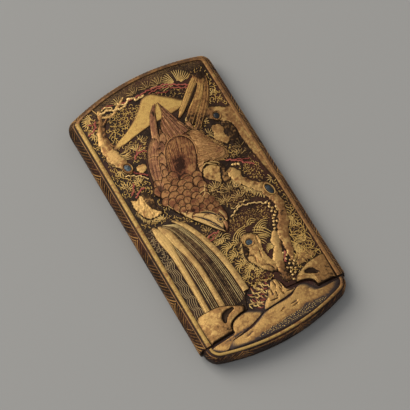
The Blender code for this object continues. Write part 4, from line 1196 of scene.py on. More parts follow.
# The thigh: a raised pad of rusty gold, combed all over with fine barbs, with a fringe of them standing over
# its edge.
thigh_gold = lacquer(
    "thigh gold", (0.44, 0.235, 0.09), (0.26, 0.115, 0.05), DARK, thin=0.2, streak=1.2, along=0.4, across=3.0)
THIGH = [(9.4, 34), (12, 35), (14.6, 32), (15.4, 27.4), (18.4, 23), (20.4, 18.8), (19.2, 15.6), (14.8, 15.6),
         (10.6, 17.6), (6.6, 16.6), (4.2, 13), (5.2, 20), (8.4, 27)]
rng = np.random.default_rng(31)
barb_roots = np.column_stack([rng.uniform(6, 19, 260), rng.uniform(16.5, 34, 260)])
thigh_turn = np.interp(barb_roots[:, 1], (16, 24, 33), (-0.2, 0.5, 0.95))
barb_ends = barb_roots + 2.6 * np.stack([-np.sin(thigh_turn + 1.57), -np.cos(thigh_turn + 1.57)], 1)


def inside(points, outline):
    """Whether each point lies inside a closed outline, by counting the sides that it passes."""
    x, y = np.asarray(points, float).T[:, :, None]
    ax, ay = np.asarray(outline, float).T[:, None, :]
    bx, by = np.roll(ax, -1, 1), np.roll(ay, -1, 1)
    crossing = ((ay > y) != (by > y)) & (x < (bx - ax) * (y - ay) / np.where(by == ay, 1e-9, by - ay) + ax)
    return crossing.sum(1) % 2 == 1


kept = inside(barb_roots, THIGH)


def fringe(line, step, inward, outward, heading, seed):
    """Short strokes that cross a line's edge: so far in and out of it about a heading in degrees."""
    rng = np.random.default_rng(seed)
    path = curve(line, 200)
    travelled = distances(path)
    even = np.arange(0, travelled[-1], step)
    feet = np.stack([np.interp(even, travelled, path[:, k]) for k in (0, 1)], 1)
    turn = np.radians(heading + rng.normal(0, 14, len(even)))[:, None]
    reach = np.linspace(-inward, outward, 4)[None] * rng.uniform(0.7, 1.2, len(even))[:, None]
    return feet[:, None] + reach[..., None] * np.stack([np.cos(turn), np.sin(turn)], -1)


thigh_fringe = np.concatenate([
    fringe([(14.4, 32.4), (15.6, 27.6), (18.6, 23.2), (20.4, 19.4)], 0.45, 1.6, 1.1, 20, 32),
    fringe([(20.4, 19), (19.4, 15.8), (15, 15.6), (10.8, 17.4)], 0.45, 1.6, 1.1, -60, 33),
    fringe([(9.4, 34), (11.6, 35), (14, 33.4)], 0.45, 1.2, 1.0, 75, 34)])
barbs = barb_roots[kept, None] + (barb_ends - barb_roots)[kept, None] * np.linspace(0, 1, 4)[None, :, None]
relief("bird_thigh",
       [shaded(boss(THIGH, 0.75, count=110, rings=14, middle=(12, 22), flat=0.55, rough=0.06, turn=0.8,
                    tint=0.1), ((17.6, 20, 1.6, 1.6, -0.8), (14, 17, 2, 1, -0.4))),
        strokes(barbs, (0.2, 0.3, 0.3, 0.1), 0.9, tints=rng.uniform(0.0, 1.2, kept.sum()), side_edge=1.0),
        strokes(thigh_fringe, (0.3, 0.4, 0.34, 0.12), 0.5, tints=rng.uniform(-0.3, 0.7, len(thigh_fringe)),
                side_edge=1.0)], thigh_gold)

# The head and feet: bands of gold and dark red lacquer run to the beak, the eye is a dark bead in a gold
# ring, and the claws of raised gold grip the rock below.
face_gold = lacquer("face gold", (0.56, 0.35, 0.13), (0.30, 0.13, 0.06), DARK, thin=0.1)
relief("bird_head",
       [boss([(-13.2, 1.8), (-10.1, -0.5), (-7.8, -2.1), (-4.6, -3.5), (-1.7, -5.2), (0.8, -7.4), (2.5, -9.6),
              (2.3, -12), (0.9, -14.6), (-0.2, -15.6), (-1.5, -14.2), (-3.3, -11.5), (-6, -8), (-8.6, -4.7),
              (-11.3, -1.2)], 0.5, on_bird, count=90, rings=10, flat=0.75, lift=0.15, middle=(-4, -7),
             tint=0.1),
        strand([(-13.0, 2.0), (-10.4, -2.4), (-7.4, -6), (-4.6, -9.5), (-2.1, -13.2), (0, -16.4)],
               (0.6, 1.5, 2.0, 2.2, 1.7, 0.4), 0.45, on_bird, count=60, section=BARK, rough=0.06, lift=0.2,
               tint=(-0.2, 0.2, 0.4, 0.4, 0.4, 0.0)),
        strand([(-10.8, 0.6), (-7.9, -2.7), (-4.9, -4.8), (-2.2, -7.5), (-0.7, -10.6), (0.0, -13.4)],
               (0.6, 1.8, 2.3, 2.2, 1.5, 0.6), 0.5, on_bird, count=60, section=BARK, rough=0.06, lift=0.2,
               tint=(-0.3, 0.1, 0.4, 0.5, 0.4, 0.2)),
        strand([(1.9, -11.8), (2.0, -13.4), (1.6, -15), (0.6, -16.8)], (1.8, 2.0, 1.5, 0.4), 0.75, on_bird,
               count=30, section=BARK, lift=0.1, tint=(0.0, -0.3, -0.6, -1.0)),
        strand([(2.6, -6), (3.8, -8.8), (3.4, -12)], (1.8, 2.2, 1.0), 0.5, on_bird, count=20, section=BARK,
               lift=0.2, tint=-0.4),
        strokes([curve(path, 14)
                 for path in ([(-8.4, -3.6), (-5.8, -6), (-3.6, -8.8), (-1.9, -11.8), (-0.5, -14.7)],
                              [(-7.4, -3.4), (-5.0, -5.9), (-3, -8.6), (-1.4, -11.4), (-0.2, -13.9)],
                              [(-9.6, -1.4), (-8.4, -3.4), (-6.6, -5.4), (-4.6, -7.8), (-2.4, -11.8)],
                              [(-4.4, -3.6), (-2, -5.2), (-0.4, -7), (0.4, -8.6)])], 0.5, 0.62, on_bird,
                lift=0.2, tints=(-2.2, 0.9, 0.8, -2.2), side_edge=1.0),
        strand([(-5.6, -2.9), (-2.6, -4.0), (-0.5, -5.9), (0.9, -8.3)], (0.4, 0.7, 0.7, 0.5), 0.75, on_bird,
               count=24, lift=0.2, tint=0.7),
        strand([(-16.9, 9), (-16, 6.6), (-14.6, 3.8), (-13, 1), (-11.6, -1.4), (-10.2, -3.4)],
               (0.2, 0.6, 0.7, 0.7, 0.7, 0.3), 0.5, on_bird, count=50, tint=0.3),
        strand([(3.2, 7.8), (2.4, 6.6), (1.6, 5.2), (1.0, 3.8), (-1.0, 2.8)], (0.5, 1.0, 1.1, 0.9, 0.4), 0.5,
               on_bird, count=30, lift=0.3, tint=0.7),
        strand([(1.8, 5.4), (0.2, 5.3), (-1.7, 4.8)], (0.9, 0.8, 0.4), 0.45, on_bird, count=20, lift=0.3,
               tint=0.7),
        strand([(1.2, 4.2), (2.4, 3.4), (2.6, 2.2)], (0.8, 0.7, 0.3), 0.45, on_bird, count=20, lift=0.3,
               tint=0.7),
        strand(oval((0.9, -10.5), (1.15, 1.15), 0.0, 12)[np.arange(14) % 12], 0.5, 0.8, on_bird, count=40,
               lift=0.1, tint=0.8)], face_gold)
ink = lacquer("ink lacquer", (0.035, 0.02, 0.014), (0.02, 0.012, 0.009), (0.012, 0.008, 0.006), thin=0.3,
              metallic=0.0, coat=0.6)
relief("bird_eye",
       [strand([(-8.6, -3.4), (-6, -5.9), (-3.7, -8.8), (-1.9, -11.9), (-0.5, -14.7)],
               (0.3, 0.8, 1.0, 0.9, 0.5), 0.62, on_bird, count=40, lift=0.36),
        strand([(-4.4, -9.4), (-2.7, -12), (-0.9, -14.9)], (0.2, 0.5, 0.3), 0.55, on_bird, count=24,
               lift=0.36),
        strand([(-5.2, -3.2), (-2.4, -4.9), (0.2, -7.2), (1.9, -8.6)], (0.3, 0.7, 0.8, 0.4), 0.55, on_bird,
               count=30, lift=0.4),
        strand(oval((0.9, -10.5), (1.6, 1.5), 0.0, 12)[np.arange(14) % 12], 0.36, 0.6, on_bird, count=40,
               lift=0.2),
        boss(oval((0.9, -10.5), (0.85, 0.85), 0.0, 12), 0.95, on_bird, count=20, rings=6, flat=0.3)], ink)
relief("bird_claws",
       [strand([(3.4, 6.8), (1, 6.3), (-1.4, 5.2), (-2.4, 4.6)], (1.0, 1.1, 1.0, 0.4), 0.8, count=30,
               lift=0.2, tint=0.4),
        strand([(1.4, 5.8), (1.9, 4.2), (0.6, 2.9), (-1, 2.2), (-2.5, 2.6)], (0.9, 1.0, 1.0, 0.9, 0.4), 0.8,
               count=30, lift=0.2, tint=0.4),
        strand([(6.6, 15.8), (9, 16.6), (10.8, 15.2), (12.8, 13.6)], (0.7, 0.9, 0.8, 0.4), 0.75, count=30,
               lift=0.3, tint=0.4),
        strand([(9.4, 16.4), (11.4, 16), (13.6, 14.6), (14.2, 13.4)], (0.6, 0.8, 0.8, 0.3), 0.7, count=30,
               lift=0.3, tint=0.2)], face_gold)

# The pine boughs: thin raised lines of red and of gold lacquer, drawn with a brush across the top and under
# the bird.
PALE_GOLD = (0.66, 0.43, 0.17)
GOLD = (0.52, 0.31, 0.105)
red_lacquer = lacquer("red lacquer", (0.35, 0.095, 0.065), (0.20, 0.04, 0.03), DARK, thin=0.2, metallic=0.1)


def bough(path, width, height, tint, seed):
    """A thin wandering branch: a ridge along a path that strays to either side by half a width."""
    stations = curve(path, 12 * len(path))
    run = np.gradient(stations, axis=0)
    run /= np.linalg.norm(run, axis=1)[:, None]
    travelled = distances(stations)
    stray = 0.36 * wavering(travelled, 2.6, seed)
    stations = stations + np.stack([run[:, 1], -run[:, 0]], 1) * stray[:, None]
    widths = width * (0.8 + 0.25 * wavering(travelled, 1.8, seed + 7))
    return strand(
        stations, widths, height, count=len(stations), section=BEAD_SECTION, rough=0.3, tint=tint, seed=seed)


RED_BOUGHS = (
    ([(-11, 62), (-7, 61.6), (-2, 61.4), (3, 61.6), (8, 61.2), (12, 60.4), (15, 58.8), (18, 57), (23, 54.4)],
     0.8, 0.1),
    ([(3, 60), (7, 60.2), (11, 59.4), (14, 57.6), (17, 55.8), (21, 53.8)], 0.6, 0.0),
    ([(6, 58.6), (9, 57.4), (12, 56.6)], 0.5, -0.2),
    ([(-31, 56), (-28, 56.4), (-26, 58.6), (-25, 60.6)], 0.8, 0.2),
    ([(-29, 60.6), (-26.6, 59.4), (-25.6, 57.4)], 0.6, 0.1),
    ([(-19, 64), (-16.6, 64.2), (-14, 63)], 0.6, 0.1),
    ([(-18, 34.6), (-16.4, 36.4), (-14, 36.6), (-11.6, 35.6)], 0.8, 0.3),
    ([(-16.4, 36.4), (-15, 38.2), (-12.4, 39)], 0.5, 0.0),
    ([(17.6, 13.8), (20, 12.4), (22.6, 10.8), (25, 8.4), (28.4, 6)], 0.8, 0.2),
    ([(19.6, 12.6), (22, 11.8), (25, 10.4), (27.6, 9.2)], 0.5, 0.0),
    ([(-8.6, -15), (-6, -14.4), (-3.6, -14.8), (-1, -13.4)], 0.7, 0.3),
    ([(-8.8, -16.6), (-6.6, -16.8), (-4.6, -15.6)], 0.6, 0.2),
    ([(16, -42), (17.4, -39.6), (18.8, -37.6)], 1.0, -0.1),
    ([(-21.8, 29.5), (-19, 26.8), (-16.6, 25.2)], 0.7, 0.0),
    ([(-28, 20), (-25.6, 22.6), (-24.6, 25)], 0.8, 0.1), ([(-26.8, 18), (-24.2, 20), (-21, 20.6)], 0.9, 0.3))
relief("red_boughs", [
    bough(path, 1.25 * width, 0.5, tint, k) for k, (path, width, tint) in enumerate(RED_BOUGHS)],
    red_lacquer)
bough_gold = lacquer("bough gold", PALE_GOLD, GOLD, UMBER, thin=0.05)
GOLD_BOUGHS = (
    ([(-22, 62), (-18, 62.4), (-15, 61), (-12, 60), (-9, 60.4), (-6.6, 62.2), (-4, 61.4), (-2.6, 60.2),
      (1, 60.6)], 1.1, 0.0),
    ([(-20, 63.6), (-17, 63.8), (-15, 62)], 0.7, 0.1), ([(-13, 63.6), (-11, 62), (-9, 60.6)], 0.8, 0.0),
    ([(-26, 30), (-23, 28.2), (-20, 26.2), (-17.4, 23.4)], 0.6, 0.4),
    ([(5.6, -11.6), (8.6, -10.4), (11.4, -9), (14.6, -9.6), (18, -10.6), (20.6, -11.8), (22.4, -13.4),
      (24, -12.6)], 0.7, 0.3),
    ([(8, -8.6), (11, -8.4), (13, -7.4), (16, -8)], 0.5, 0.2), ([(11.6, 39.4), (12.6, 41)], 0.7, 0.5),
    ([(-7.6, -20.4), (-5.4, -19), (-2.6, -18.8), (0, -20.4)], 0.4, 0.1),
    ([(4.4, 3.8), (6.4, 2.6), (8.2, 0.6)], 0.4, 0.1))
relief("gold_boughs", [
    bough(path, 1.3 * width, 0.6, tint, k) for k, (path, width, tint) in enumerate(GOLD_BOUGHS)], bough_gold)

# The curling leaves: small hooks of thin raised gold line, brushed over the dark lacquer between the larger
# pieces. Each patch of ground is filled evenly, with its own size of curl and its own gold.


def scatter(outline, pitch, seed):
    """Points spread evenly but not in rows inside a closed outline: a staggered grid, each moved a little."""
    rng = np.random.default_rng(seed)
    low, high = np.min(outline, 0), np.max(outline, 0)
    rows = np.arange(low[1], high[1], pitch * 0.87)
    columns = np.arange(low[0], high[0], pitch)
    grid = np.array([(x + (k % 2) * pitch / 2, y) for k, y in enumerate(rows) for x in columns])
    grid += rng.uniform(-0.3, 0.3, grid.shape) * pitch
    return grid[inside(grid, outline)]


def curls(points, size, sweep, seed, heading=None, spread_by=3.2, count=6):
    """A curling stroke at each point: an arc of about a size, turned at random or about a heading."""
    rng = np.random.default_rng(seed)
    many = len(points)
    start = rng.uniform(0, 2 * math.pi, many) if heading is None else heading + rng.normal(0, spread_by, many)
    radius = size * rng.uniform(0.7, 1.25, many)
    side = np.where(rng.random(many) < 0.5, -1.0, 1.0)
    angle = start[:, None] + side[:, None] * sweep * np.linspace(-0.5, 0.5, count)
    shrink = 1 - 0.35 * np.linspace(0, 1, count)
    arc = np.stack([np.cos(angle), np.sin(angle)], -1)
    return points[:, None] + (radius[:, None] * shrink)[..., None] * arc


line_gold = lacquer("line gold", (0.74, 0.46, 0.13), (0.36, 0.20, 0.07), DARK, thin=0.1, metallic=0.2)

# Zones: outline, pitch, size, sweep, tint, seed.
CURL_ZONES = (
    ([(-24, 45), (-23, 52), (-20, 57), (-14, 60), (-7, 59.4), (-3, 57.6), (-7, 53.4), (-13, 49.6),
      (-19, 46.8)], 1.4, 0.75, 3.6, 0.2, 1),
    ([(-31, 62), (-26, 65), (-23, 60), (-25.6, 54), (-28, 49), (-29, 42), (-31, 40)], 1.4, 0.7, 3.4, 0.1, 2),
    ([(-23, 43), (-14, 43.6), (-8, 42), (-10, 37.6), (-14, 32), (-19, 33), (-21, 38)], 1.5, 0.75, 3.2, -0.3,
     3),
    ([(-31, 38), (-27.6, 36), (-26, 30), (-21, 26), (-18, 22), (-18, 2), (-20, 5), (-19, 13), (-23, 20),
      (-31, 20)], 1.3, 0.65, 3.0, 0.1, 4),
    ([(24, 42.5), (25, 46), (29, 52), (31.6, 58), (32.6, 58), (32.6, 38.6), (29, 41)], 1.35, 0.7, 3.4, 0.2,
     5),
    ([(10, 41), (15, 40.6), (18, 36.4), (15.6, 31), (18, 27), (19.6, 20), (22, 19), (24, 20), (25, 14),
      (22, 13), (17, 14)], 1.4, 0.7, 3.0, -0.1, 6),
    ([(21, 19), (29, 18.6), (30, 8), (21, 8)], 1.5, 0.8, 2.0, -1.1, 13),
    ([(3, -12), (10, -11), (20, -13), (22, -15), (22, -20), (12, -19), (2, -19)], 0.95, 0.55, 2.0, -0.6, 7),
    ([(-9, -6), (-2, -15), (-4, -18), (-7, -20), (-9.6, -13)], 1.25, 0.6, 2.4, -0.5, 8),
    ([(-6.5, -24), (0, -22), (2, -25), (0, -33), (5, -41), (9, -45), (-3.6, -44.6), (-4.4, -36)], 1.45, 0.75,
     2.6, -0.2, 9),
    ([(16, -46), (20, -44), (24, -47), (16.6, -50)], 1.4, 0.8, 2.2, 0.0, 10),
    ([(11.2, -46), (16, -44), (17.6, -51.2), (11.6, -51.4)], 1.1, 0.7, 1.2, -0.5, 19),
    ([(31.4, 0), (32.8, -4), (32.8, -19), (30.8, -18), (31.2, -6)], 1.3, 0.6, 2.6, -0.2, 11),
    ([(21, 8), (30, 8), (30.8, 2), (29, -3), (25, -1.6), (22, 3)], 1.3, 0.65, 2.6, -0.3, 16),
    ([(3, 58), (8, 56.4), (12, 53), (16, 50.4), (21, 54), (16, 56), (10, 58.6), (5, 59.6)], 1.5, 0.6, 2.6,
     -0.7, 12),
    ([(0, 6), (4, 8), (11, 5), (14, 0), (19, -3), (22, -8), (8, -8), (5, -3), (2, 1)], 1.05, 0.6, 2.2, -0.7,
     14),
    ([(19, 57), (27, 61), (31, 62), (31, 59), (24, 57)], 1.35, 0.65, 2.2, -0.4, 15),
    ([(-30.6, 6), (-27, 5), (-20, 4.6), (-12, -0.4), (-8.4, -4.6), (-9.4, -7), (-14, -3), (-19, 1),
      (-27, 2.4), (-31, 2.6)], 1.3, 0.62, 2.8, -0.1, 17),
    ([(20.4, 40.8), (18, 37), (16, 33), (20, 32), (21, 36)], 1.4, 0.62, 2.6, -0.4, 18))
paths, tints = [], []
for outline, pitch, size, sweep, tint, seed in CURL_ZONES:
    found = curls(scatter(outline, pitch, seed), size, sweep, seed)
    paths.append(found)
    tints.append(np.random.default_rng(seed).uniform(tint - 0.5, tint + 0.4, len(found)))
relief("curling_leaves",
       [strokes(np.concatenate(paths), (0.2, 0.32, 0.36, 0.36, 0.3, 0.16), 0.3, tints=np.concatenate(tints))],
       line_gold)

# The long leaves: narrow gold blades brushed into the one patch where no curls lie, each bent as it falls.
# They are of the same thin raised line as the curls.


def leaves(points, length, width, seed, count=6):
    """Narrow leaves drawn by their two edges: arcs that bulge to either side of a line at each point."""
    rng = np.random.default_rng(seed)
    turn = rng.choice((0.7, 2.3, 1.5), len(points)) + rng.normal(0, 0.3, len(points))
    along = np.stack([np.cos(turn), np.sin(turn)], -1)[:, None]
    across = np.stack([-np.sin(turn), np.cos(turn)], -1)[:, None]
    share = np.linspace(-0.5, 0.5, count)[None, :, None]
    swell = (1 - 4 * share ** 2) * width / 2
    reach = length * rng.uniform(0.75, 1.2, len(points))[:, None, None]
    middle = points[:, None] + along * reach * share
    return np.concatenate([middle + across * swell, middle - across * swell])


LEAF_ZONE = [(24.6, -24), (29.6, -18.6), (32.8, -18), (32.8, -46), (24, -46.6), (19.6, -44), (20.6, -38),
             (24.4, -33)]
leaf_lines = leaves(scatter(LEAF_ZONE, 2.1, 71), 4.4, 1.6, 72)
relief("long_leaves",
       [strokes(leaf_lines, (0.16, 0.26, 0.3, 0.3, 0.26, 0.16), 0.3,
                tints=np.random.default_rng(73).uniform(-0.7, 0.4, len(leaf_lines)))], line_gold)

# The pine needles: fans of fine raised gold lines where the boughs carry them, and short strokes like moss
# along the lower edges of the arm and the low rock.


def fan(centre, radius, first, last, many, inner=0.16, bend=0.12, count=4):
    """Pine needles spread from a point between two headings in degrees, each a little bent."""
    heading = np.radians(np.linspace(first, last, many))[:, None]
    share = np.linspace(inner, 1.0, count)[None]
    angle = heading + bend * share ** 2
    return np.asarray(centre, float) + radius * share[..., None] * np.stack(
        [np.cos(angle), np.sin(angle)], -1)


pale_line_gold = lacquer(
    "pale line gold", (0.84, 0.56, 0.20), (0.46, 0.28, 0.105), DARK, thin=0.1, metallic=0.2)

# Fans: centre, radius, first and last heading in degrees, needles, tint.
NEEDLE_FANS = (
    ((16.4, 58.2), 6.8, 92, 176, 9, 0.6), ((17.8, 58.0), 7.0, 5, 82, 9, 0.5),
    ((9.4, 61.4), 4.6, 40, 165, 7, -0.5), ((3.8, 62.4), 4.2, 35, 150, 7, -0.9),
    ((-2.8, 62.6), 4.2, 40, 150, 7, -0.9), ((-11.5, 62), 4.2, 40, 150, 7, -0.5),
    ((-17.6, 60.6), 3.0, 190, 330, 6, -0.2), ((-26.0, 61.4), 5.0, 92, 205, 9, 1.0),
    ((-27.6, 55), 3.8, 110, 250, 7, 0.5), ((-29.4, 37.4), 3.4, -30, 90, 6, 0.0),
    ((-24.9, 39.2), 6.0, -38, -8, 4, 0.9), ((-24.2, 40.8), 5.0, -36, -14, 2, 0.5),
    ((-26.4, 33.6), 3.6, 190, 310, 6, 0.1), ((-15.6, 37.6), 3.6, -10, 110, 7, 0.5),
    ((-12, 41.4), 3.2, -50, 80, 6, -0.6), ((-18, 42.8), 3.4, -140, -30, 6, -0.6),
    ((-28.6, 24), 3.8, -20, 120, 7, 0.2), ((-22, 23.6), 3.4, 20, 160, 7, 0.5),
    ((-18.6, 16), 2.8, -70, 60, 5, 0.0), ((-22.4, 2.6), 3.4, 10, 150, 6, 0.1),
    ((-16, 8), 2.8, 110, 250, 5, 0.0), ((29.4, 45.4), 3.2, 40, 170, 6, 0.1),
    ((28, 50.6), 3.2, -60, 50, 5, -0.1), ((30.6, 54), 2.8, 90, 220, 5, -0.2),
    ((17.6, 36), 3.4, -30, 90, 6, 0.0), ((17, 29), 3.0, -60, 80, 6, -0.2),
    ((17.2, 22.4), 3.6, -35, 100, 7, -0.5), ((6.4, 3.4), 4.4, 20, 165, 9, -0.5),
    ((2.2, 0.8), 3.0, -50, 80, 6, -0.6), ((11.6, -0.4), 4.2, 20, 160, 9, -0.7),
    ((6.8, -4.4), 4.4, 10, 165, 9, -0.7), ((13.8, -5.6), 4.2, 20, 160, 8, -0.7),
    ((18.6, -4.6), 3.2, 10, 160, 7, -0.6), ((31.6, -4), 2.6, 100, 250, 5, -0.1),
    ((24.6, 13), 3.6, 10, 170, 7, -1.0), ((27, 16.6), 3.4, 20, 170, 7, -1.2),
    ((-4.4, -17.4), 3.2, 20, 150, 6, -0.5), ((-7, -12.4), 2.8, 10, 130, 5, -0.6))
needles, tints = [], []
for centre, radius, first, last, many, tint in NEEDLE_FANS:
    needles.append(fan(centre, radius, first, last, many, inner=0.2))
    tints.append(np.full(many, tint) + 0.35 * np.cos(np.arange(many) * 2.3))

# The strokes of moss.
moss = np.concatenate(
    [fringe([(15, 4), (16.6, 0.6), (18.6, -2), (21.6, -5.6), (24.6, -9.4)], 0.55, 0.3, 1.9, 235, 35),
     fringe([(-30, 12), (-28.6, 7.6), (-26, 5.2), (-21, 4.6)], 0.6, 0.2, 1.6, 240, 36),
     fringe([(3.4, -25), (1.4, -30), (1.6, -34), (4, -39.6)], 0.6, 0.2, 1.7, 205, 37)])
relief("pine_needles",
       [strokes(np.concatenate(needles), (0.26, 0.36, 0.38, 0.22), 0.34, tints=np.concatenate(tints)),
        strokes(moss, (0.34, 0.4, 0.34, 0.16), 0.34,
                tints=np.random.default_rng(38).uniform(-0.6, 0.5, len(moss)))], pale_line_gold)

# The tufts: long curling blades of raised gold line, low on the right of the water. Over the low rock they
# lie in long nested arcs, brighter than the rest.


def arcs(centre, first_radius, last_radius, step, first, last, seed, count=7):
    """Nested arcs round a point, from one radius to another, between two headings in degrees."""
    rng = np.random.default_rng(seed)
    radii = np.arange(first_radius, last_radius, step)
    starts = np.radians(first + rng.uniform(-6, 6, len(radii)))
    ends = np.radians(last + rng.uniform(-6, 6, len(radii)))
    angle = starts[:, None] + (ends - starts)[:, None] * np.linspace(0, 1, count)[None]
    radius = radii[:, None] * (1 + 0.06 * np.sin(3.0 * angle + radii[:, None]))
    return np.asarray(centre, float) + radius[..., None] * np.stack([np.cos(angle), np.sin(angle)], -1)


TUFTS = (((-3, -24.6), 3.8, 20, 190, 8, 0.2), ((1.6, -24.4), 3.4, 40, 170, 5, 0.1),
         ((-2.6, -29.4), 3.6, 10, 170, 7, 0.3), ((-1.6, -34.4), 3.4, 10, 180, 7, 0.3),
         ((1.2, -38), 3.6, 20, 190, 8, 0.4), ((-2.4, -40.6), 3.0, 20, 170, 6, -0.1),
         ((4.4, -41.4), 3.4, 30, 180, 6, 0.1), ((-5.2, -20.6), 3.0, 0, 150, 7, 0.0),
         ((15, -34), 3.6, 70, 150, 6, 0.2), ((22.4, -40), 4.4, -40, 60, 8, 0.2),
         ((28, -38), 4.4, 20, 140, 8, 0.0), ((30.6, -26), 3.8, 110, 240, 7, 0.0))
NESTED_ARCS = (
    # centre, first and last radius, step, first and last heading, tint, seed
    ((9.4, -31.4), 3.6, 11.2, 0.95, 82, 24, 0.45, 81), ((6.4, -23.6), 1.6, 5.4, 0.95, 170, 60, 0.2, 82),
    ((16.4, -24.6), 1.4, 5.2, 0.95, 165, 50, 0.3, 83), ((-1.0, -20.4), 1.2, 3.4, 0.9, 180, 30, -0.1, 84),
    ((12.6, -19.4), 1.0, 3.0, 0.9, 170, 20, 0.1, 85))
blades, tints = [], []
for centre, radius, first, last, many, tint in TUFTS:
    blades.append(fan(centre, radius, first, last, many, inner=0.15, bend=0.75, count=7))
    tints.append(np.full(many, tint) + 0.3 * np.cos(np.arange(many) * 1.9))
for centre, first_radius, last_radius, step, first, last, tint, seed in NESTED_ARCS:
    found = arcs(centre, first_radius, last_radius, step, first, last, seed)
    blades.append(found)
    tints.append(np.full(len(found), tint) + 0.2 * np.cos(np.arange(len(found)) * 1.9))
tuft_gold = lacquer("tuft gold", (0.74, 0.49, 0.16), (0.38, 0.235, 0.08), DARK, thin=0.1, metallic=0.3)
relief("tufts",
       [strokes(np.concatenate(blades), (0.3, 0.44, 0.48, 0.48, 0.44, 0.36, 0.16), 0.38,
                tints=np.concatenate(tints))], tuft_gold)

# The foam: curls of pale gold line that fall between the bead and the outer tongue of water, then run out
# in long wavy lines. They are brushed on like the curling leaves.
FOAM = [(-31.6, 2), (-29, 2.4), (-28.6, -4), (-27.8, -10), (-27.2, -18), (-31.6, -18)]
foam_points = scatter(FOAM, 1.5, 41)
foam = curls(foam_points, 1.0, 2.8, 41, heading=-1.4, spread_by=0.9, count=9)
column = np.linspace(-31.2, -27.8, 5)[:, None]
fall = np.linspace(-16.0, -45.5, 90)[None]
swing = 0.45 * np.sin(0.95 * fall + 0.5 * column) + 0.14 * np.sin(2.1 * fall + 0.6 * column)
ripples = np.stack([column + swing, fall + 0 * column], -1)
foam_gold = lacquer("foam gold", (0.42, 0.29, 0.14), (0.20, 0.13, 0.07), DARK, thin=0.1, metallic=0.2)
relief("foam", [strokes(foam, 0.34, 0.26, tints=np.random.default_rng(42).uniform(-0.6, 0.5, len(foam))),
                strokes(ripples, 0.36, 0.28, tints=np.array([-0.3, 0.3, -0.2, 0.4, 0.1]))], foam_gold)

# The studs: small squares and beads of cut gold foil, pressed into the lacquer along the trunk's edge and
# about the foot of the rocks. One small dark hollow lies among them.
STUDS = ([(23.2, -13.2), (24.2, -14.4), (23.4, -15.6), (24.4, -16.8), (23.4, -18), (24.6, -19.2),
          (23.4, -20.4), (22.2, -21.4), (21.6, -22.8), (23, -23.4), (20.8, -24.4), (20.2, -26), (26.2, -17),
          (26, -18.6), (19.2, -27.2)],
         [(17.6, -38), (18.4, -39.6), (17.2, -41), (18.6, -42.4), (17.4, -43.6), (19, -44.6), (17, -45.8),
          (18.8, -46.8), (16, -47.4), (20.2, -41.6), (16, -49), (17.6, -48.6), (20, -43.6), (15.6, -45),
          (15.4, -51)],
         [(19.4, 10.2), (20.6, 9.8), (21.8, 9.2)])
STUD_RADII = (0.78, 0.68, 0.8)
studs = [boss(oval(spot, (radius * 1.05, radius * 0.8), 0.9 * k, 10), 0.7, count=12, rings=4, flat=0.5,
              middle=spot, tint=0.55 * math.cos(3.1 * k) - 0.1) for group, radius in zip(STUDS, STUD_RADII)
         for k, spot in enumerate(group)]
studs.append(strand(oval((16.2, 0.8), (1.7, 1.1), 0.1)[np.arange(26) % 24], 0.6, 0.7, count=50, tint=0.2))
relief("gold_studs", studs, bough_gold)
relief("small_hollow", [boss(oval((16.2, 0.8), (1.3, 0.8), 0.1), 0.3, count=24, rings=4, middle=(16.2, 0.8))],
       ink)

# The rocks at the joint: modelled in paste and dusted with gold like those above. They belong to the cover
# on its side of the line and to the base on the other, and end just short of it, so that the dark gap runs
# between them.
joint_path = joint_line(0.0) / MM


def stretch_of(path, first_x, last_x, shift):
    """The part of the joint's line between two places across, moved along by a shift."""
    travelled = distances(path)
    even = np.arange(0.0, travelled[-1], 0.9)
    part = np.column_stack([np.interp(even, travelled, path[:, k]) for k in (0, 1)])
    return part[(part[:, 0] > first_x) & (part[:, 0] < last_x)] + (0.0, shift)


LEFT_EDGE = stretch_of(joint_path, -32.6, -10.4, 0.12)
RIGHT_EDGE = stretch_of(joint_path, 14.6, 33.4, 0.12)
left_rock = boss(
    np.concatenate(
        [LEFT_EDGE,
         [(-10.0, -50.8), (-12, -49.2), (-15.5, -47.2), (-20, -45.3), (-26, -44.6), (-31.6, -45.2),
          (-32.6, -50)]]), 1.0, count=150, rings=26, flat=0.7, rough=0.06, size=6, middle=(-24, -51.5),
    tint=-0.3, spacing=1.2)
left_rock = dented(
    left_rock, [(-15.6, -49.2), (-18.4, -49.6), (-20.4, -50.8), (-21.2, -52.8)], (1.6, 2.9, 3.1, 1.8), 0.7,
    3.0)
left_rock = shaded(
    left_rock,
    ((-13.4, -50.8, 3, 1.6, -0.5), (-18.4, -53.4, 1.2, 2.0, 0.5), (-22, -56.5, 2.6, 2.4, -0.7),
     (-27.4, -49, 3.4, 3.2, 0.75), (-30.5, -52.5, 2, 2.4, -0.5), (-25.5, -53.5, 1.6, 1.2, -0.4),
     (-21, -47, 4, 1.2, -0.3), (-30, -57, 3, 1.5, -0.4)))
right_rock = boss(
    np.concatenate(
        [RIGHT_EDGE, [(33.4, -50), (33.2, -46.6), (28, -46.6), (24, -47.2), (19.5, -49), (16.6, -50.6)]]),
    1.0, count=150, rings=26, flat=0.7, rough=0.05, size=6, middle=(26, -52), spacing=1.2, tint=-0.55)
right_rock = dented(right_rock, [(22, -50.6), (24, -51.2), (25.8, -52.8)], (2.2, 3.2, 2.0), 0.7, 2.6)
right_rock = shaded(
    right_rock,
    ((19.4, -50, 3.4, 1.5, 0.95), (23.4, -48.2, 3, 1, 0.5), (23.2, -54.6, 1.0, 2.6, 1.1),
     (30, -54, 3, 4, -0.25)))
relief("joint_rocks",
       [left_rock, right_rock,
        strand([(17.6, -50.9), (20.4, -51.4), (22.6, -53), (24.2, -55.2), (24.4, -57.4)],
               (0.6, 1.0, 1.1, 1.1, 0.5), 1.2, count=40, rough=0.15, tint=0.6)], rock_gold)

